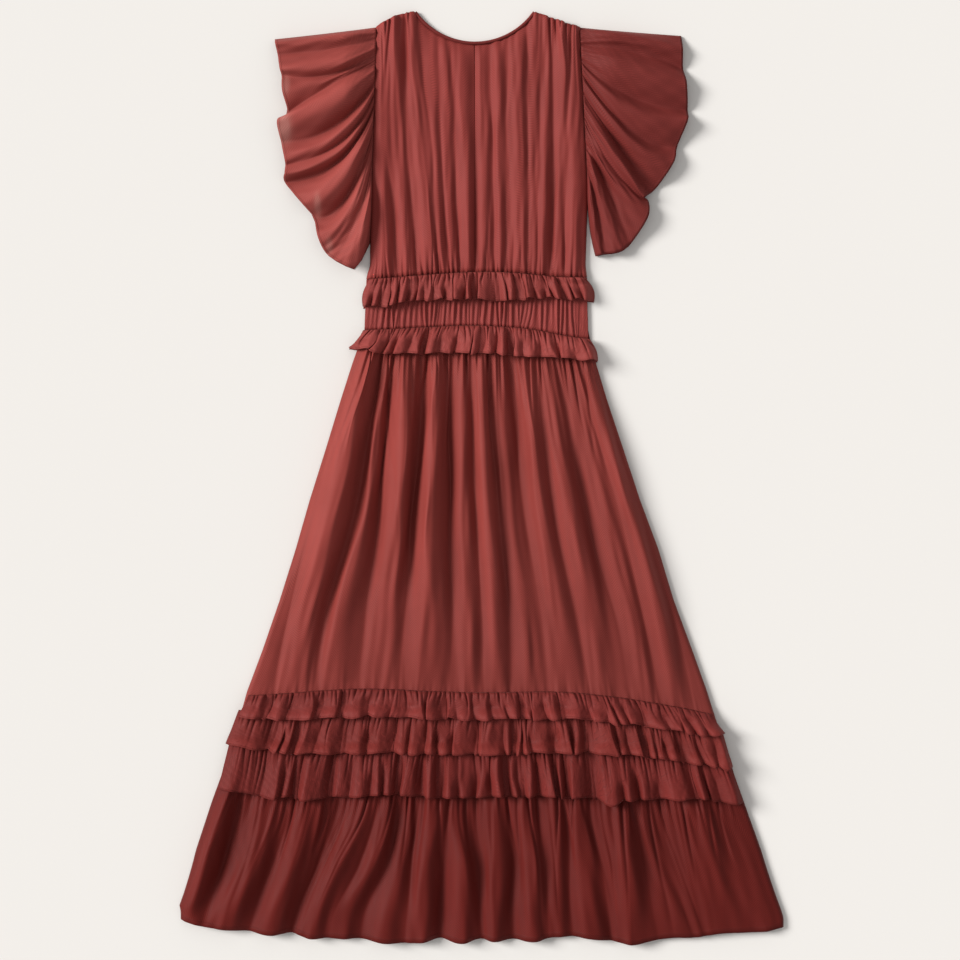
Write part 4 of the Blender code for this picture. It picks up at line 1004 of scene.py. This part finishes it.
def sleeve(node, fan, finish, seam, seed, crowned, folded, mirrored, see_through_places):
    """A flutter sleeve: a tube whose upper layer is a fan of waves and whose lower layer lies flat. Each
    ridge and valley is a bow through its place at the armhole, halfway and at the hem. The layer swells
    near the armhole. Soft round places are painted paler, as painted light coming through the sheer
    cloth, each given by its middle, its size and how much."""
    v = np.linspace(0.0, 1.0, 44)[:, None]
    near, middle, far = (1 - v) * (1 - 2 * v), 4 * v * (1 - v), v * (2 * v - 1)
    x = seam(fan["arm"]) * near + fan["mid_x"] * middle + fan["hem_x"] * far
    down = fan["arm"] * near + fan["mid"] * middle + fan["hem"] * far
    high = np.clip(fan["z_arm"] * near + fan["z_mid"] * middle + fan["z_hem"] * far, 0.0, 1.1)
    keys = np.arange(x.shape[1], dtype=float)
    parts = 10
    fine = np.linspace(0.0, keys[-1], (len(keys) - 1) * parts + 1)
    x = np.stack([smooth_between(keys, row[:, None], fine)[:, 0] for row in x])
    down = np.stack([smooth_between(keys, row[:, None], fine)[:, 0] for row in down])
    k = np.minimum(fine.astype(int), len(keys) - 2)
    a, b = high[:, k], high[:, k + 1]
    fall = np.where(b < a, fine - k, 1.0 - (fine - k))
    fall = 0.5 * ease(fall) + 0.5 * (1.0 - np.cos(fall * pi / 2))
    z = np.maximum(a, b) + (np.minimum(a, b) - np.maximum(a, b)) * fall
    arm = np.interp(fine, keys, fan["arm"])[None, :]
    hold = np.minimum(1.0, 16 * np.minimum(fine, keys[-1] - fine) / keys[-1])
    crown = crowned * (0.2 + 0.8 * ease(v / 0.3)) * (1 - v) * np.minimum(1.0, 3 * hold)
    z = STEP + CLOTH + hold + crown + folded * z * (0.38 + 0.62 * np.minimum(1, 3 * v))
    z = z + 3.0 * gathers(arm, v * 200.0, seed, 6.0, 120.0, (22.0, 240.0)) * hold * (0.6 + 0.4 * ease(v * 5))
    z = z + 0.8 * ripple(arm, v * 150.0, seed + 1, 8.0, 34.0, 6.0) * hold * (0.3 + v)
    back = np.linspace(len(fine) - 1, 0, 34)[1:-1].astype(int)
    back_wave = ripple(arm[:, back], v * 200.0, seed + 2, 20.0, 60.0, 6.0)
    back_z = UNDERSIDE + 0.5 * np.clip(back_wave, 0, 1)
    x, down = np.hstack([x, x[:, back]]), np.hstack([down, down[:, back]])
    made = piece(node, (x, down, np.hstack([z, back_z])), finish, round_it=True,
                 facing_down=mirrored)
    # Where painted light shows through the sheer cloth, making it paler.
    see_through_light = np.zeros_like(x)
    for across, depth, wide, tall, much in see_through_places:
        away = ((x - across) / wide) ** 2 + ((down - depth) / tall) ** 2
        see_through_light = np.maximum(see_through_light, much * np.clip(1.6 * np.exp(-away), 0.0, 1.0))
    made.data.attributes.new("see_through_light", "FLOAT", "POINT").data.foreach_set("value", see_through_light.ravel())


hem_tier()
skirt()
bodice()
waist()
waist_ruffles()
tier_ruffles()
sleeve("sleeve_left", SLEEVE_LEFT, SLEEVE_LEFT_CLOTH, lambda d: left_side(d) + 0.8, 111, 8.0, 27.0, False,
       ((-276, 165, 8, 17, 0.75), (-274, 104, 4, 12, 0.45), (-230, 272, 4, 13, 0.5), (-214, 328, 4, 9, 0.4)))
sleeve("sleeve_right", SLEEVE_RIGHT, SLEEVE_RIGHT_CLOTH, lambda d: right_side(d) - 0.8, 121, 12.0, 19.0,
       True, ((288, 117, 3, 14, 0.2),))
neck_binding("neck_binding_front", STEP + 0.2, 4.2)
neck_binding("neck_binding_back", 0.05, 1.3)


# Floor, light and camera

def floor():
    """A square of pale paper under the dress."""
    half = 4.0
    mesh = bpy.data.meshes.new("floor")
    corners = [(-half, -half, 0), (half, -half, 0), (half, half, 0), (-half, half, 0)]
    mesh.from_pydata(corners, [], [(0, 1, 2, 3)])
    f = Finish("floor_paper")
    spot = f.add("ShaderNodeTexCoord", output=3)
    cloud = f.add("ShaderNodeTexNoise", {}, {"Vector": spot, "Scale": 3.0, "Detail": 3.0})
    paper = f.mix(cloud, (0.806, 0.785, 0.757, 1.0), (0.812, 0.791, 0.763, 1.0))
    f.shader_values(Base_Color=paper, Roughness=0.9, Specular_IOR_Level=0.1)
    mesh.materials.append(f.material)
    made = placed("floor", mesh)
    made.location.z = -0.0002


def light_and_camera():
    """Soft window light from the upper left, a pale room, and a camera straight above."""
    sun = bpy.data.lights.new("window", "SUN")
    sun.energy = 3.75
    sun.angle = radians(24)
    sun.color = (1.0, 0.985, 0.965)
    placed("window", sun).rotation_euler = (radians(-14), radians(-57), 0.0)
    world = bpy.data.worlds.new("studio")
    world.use_nodes = True
    background = world.node_tree.nodes["Background"]
    background.inputs["Color"].default_value = (1.0, 0.99, 0.985, 1.0)
    background.inputs["Strength"].default_value = 0.48
    bpy.context.scene.world = world
    eye = bpy.data.cameras.new("camera")
    eye.lens = 85.0
    eye.sensor_width = 36.0
    eye.clip_end = 50.0
    stand = placed("camera", eye)
    stand.location = (-0.0021, -0.00335, 3.164)
    bpy.context.scene.camera = stand
    bpy.context.scene.view_settings.view_transform = "Standard"


floor()
light_and_camera()
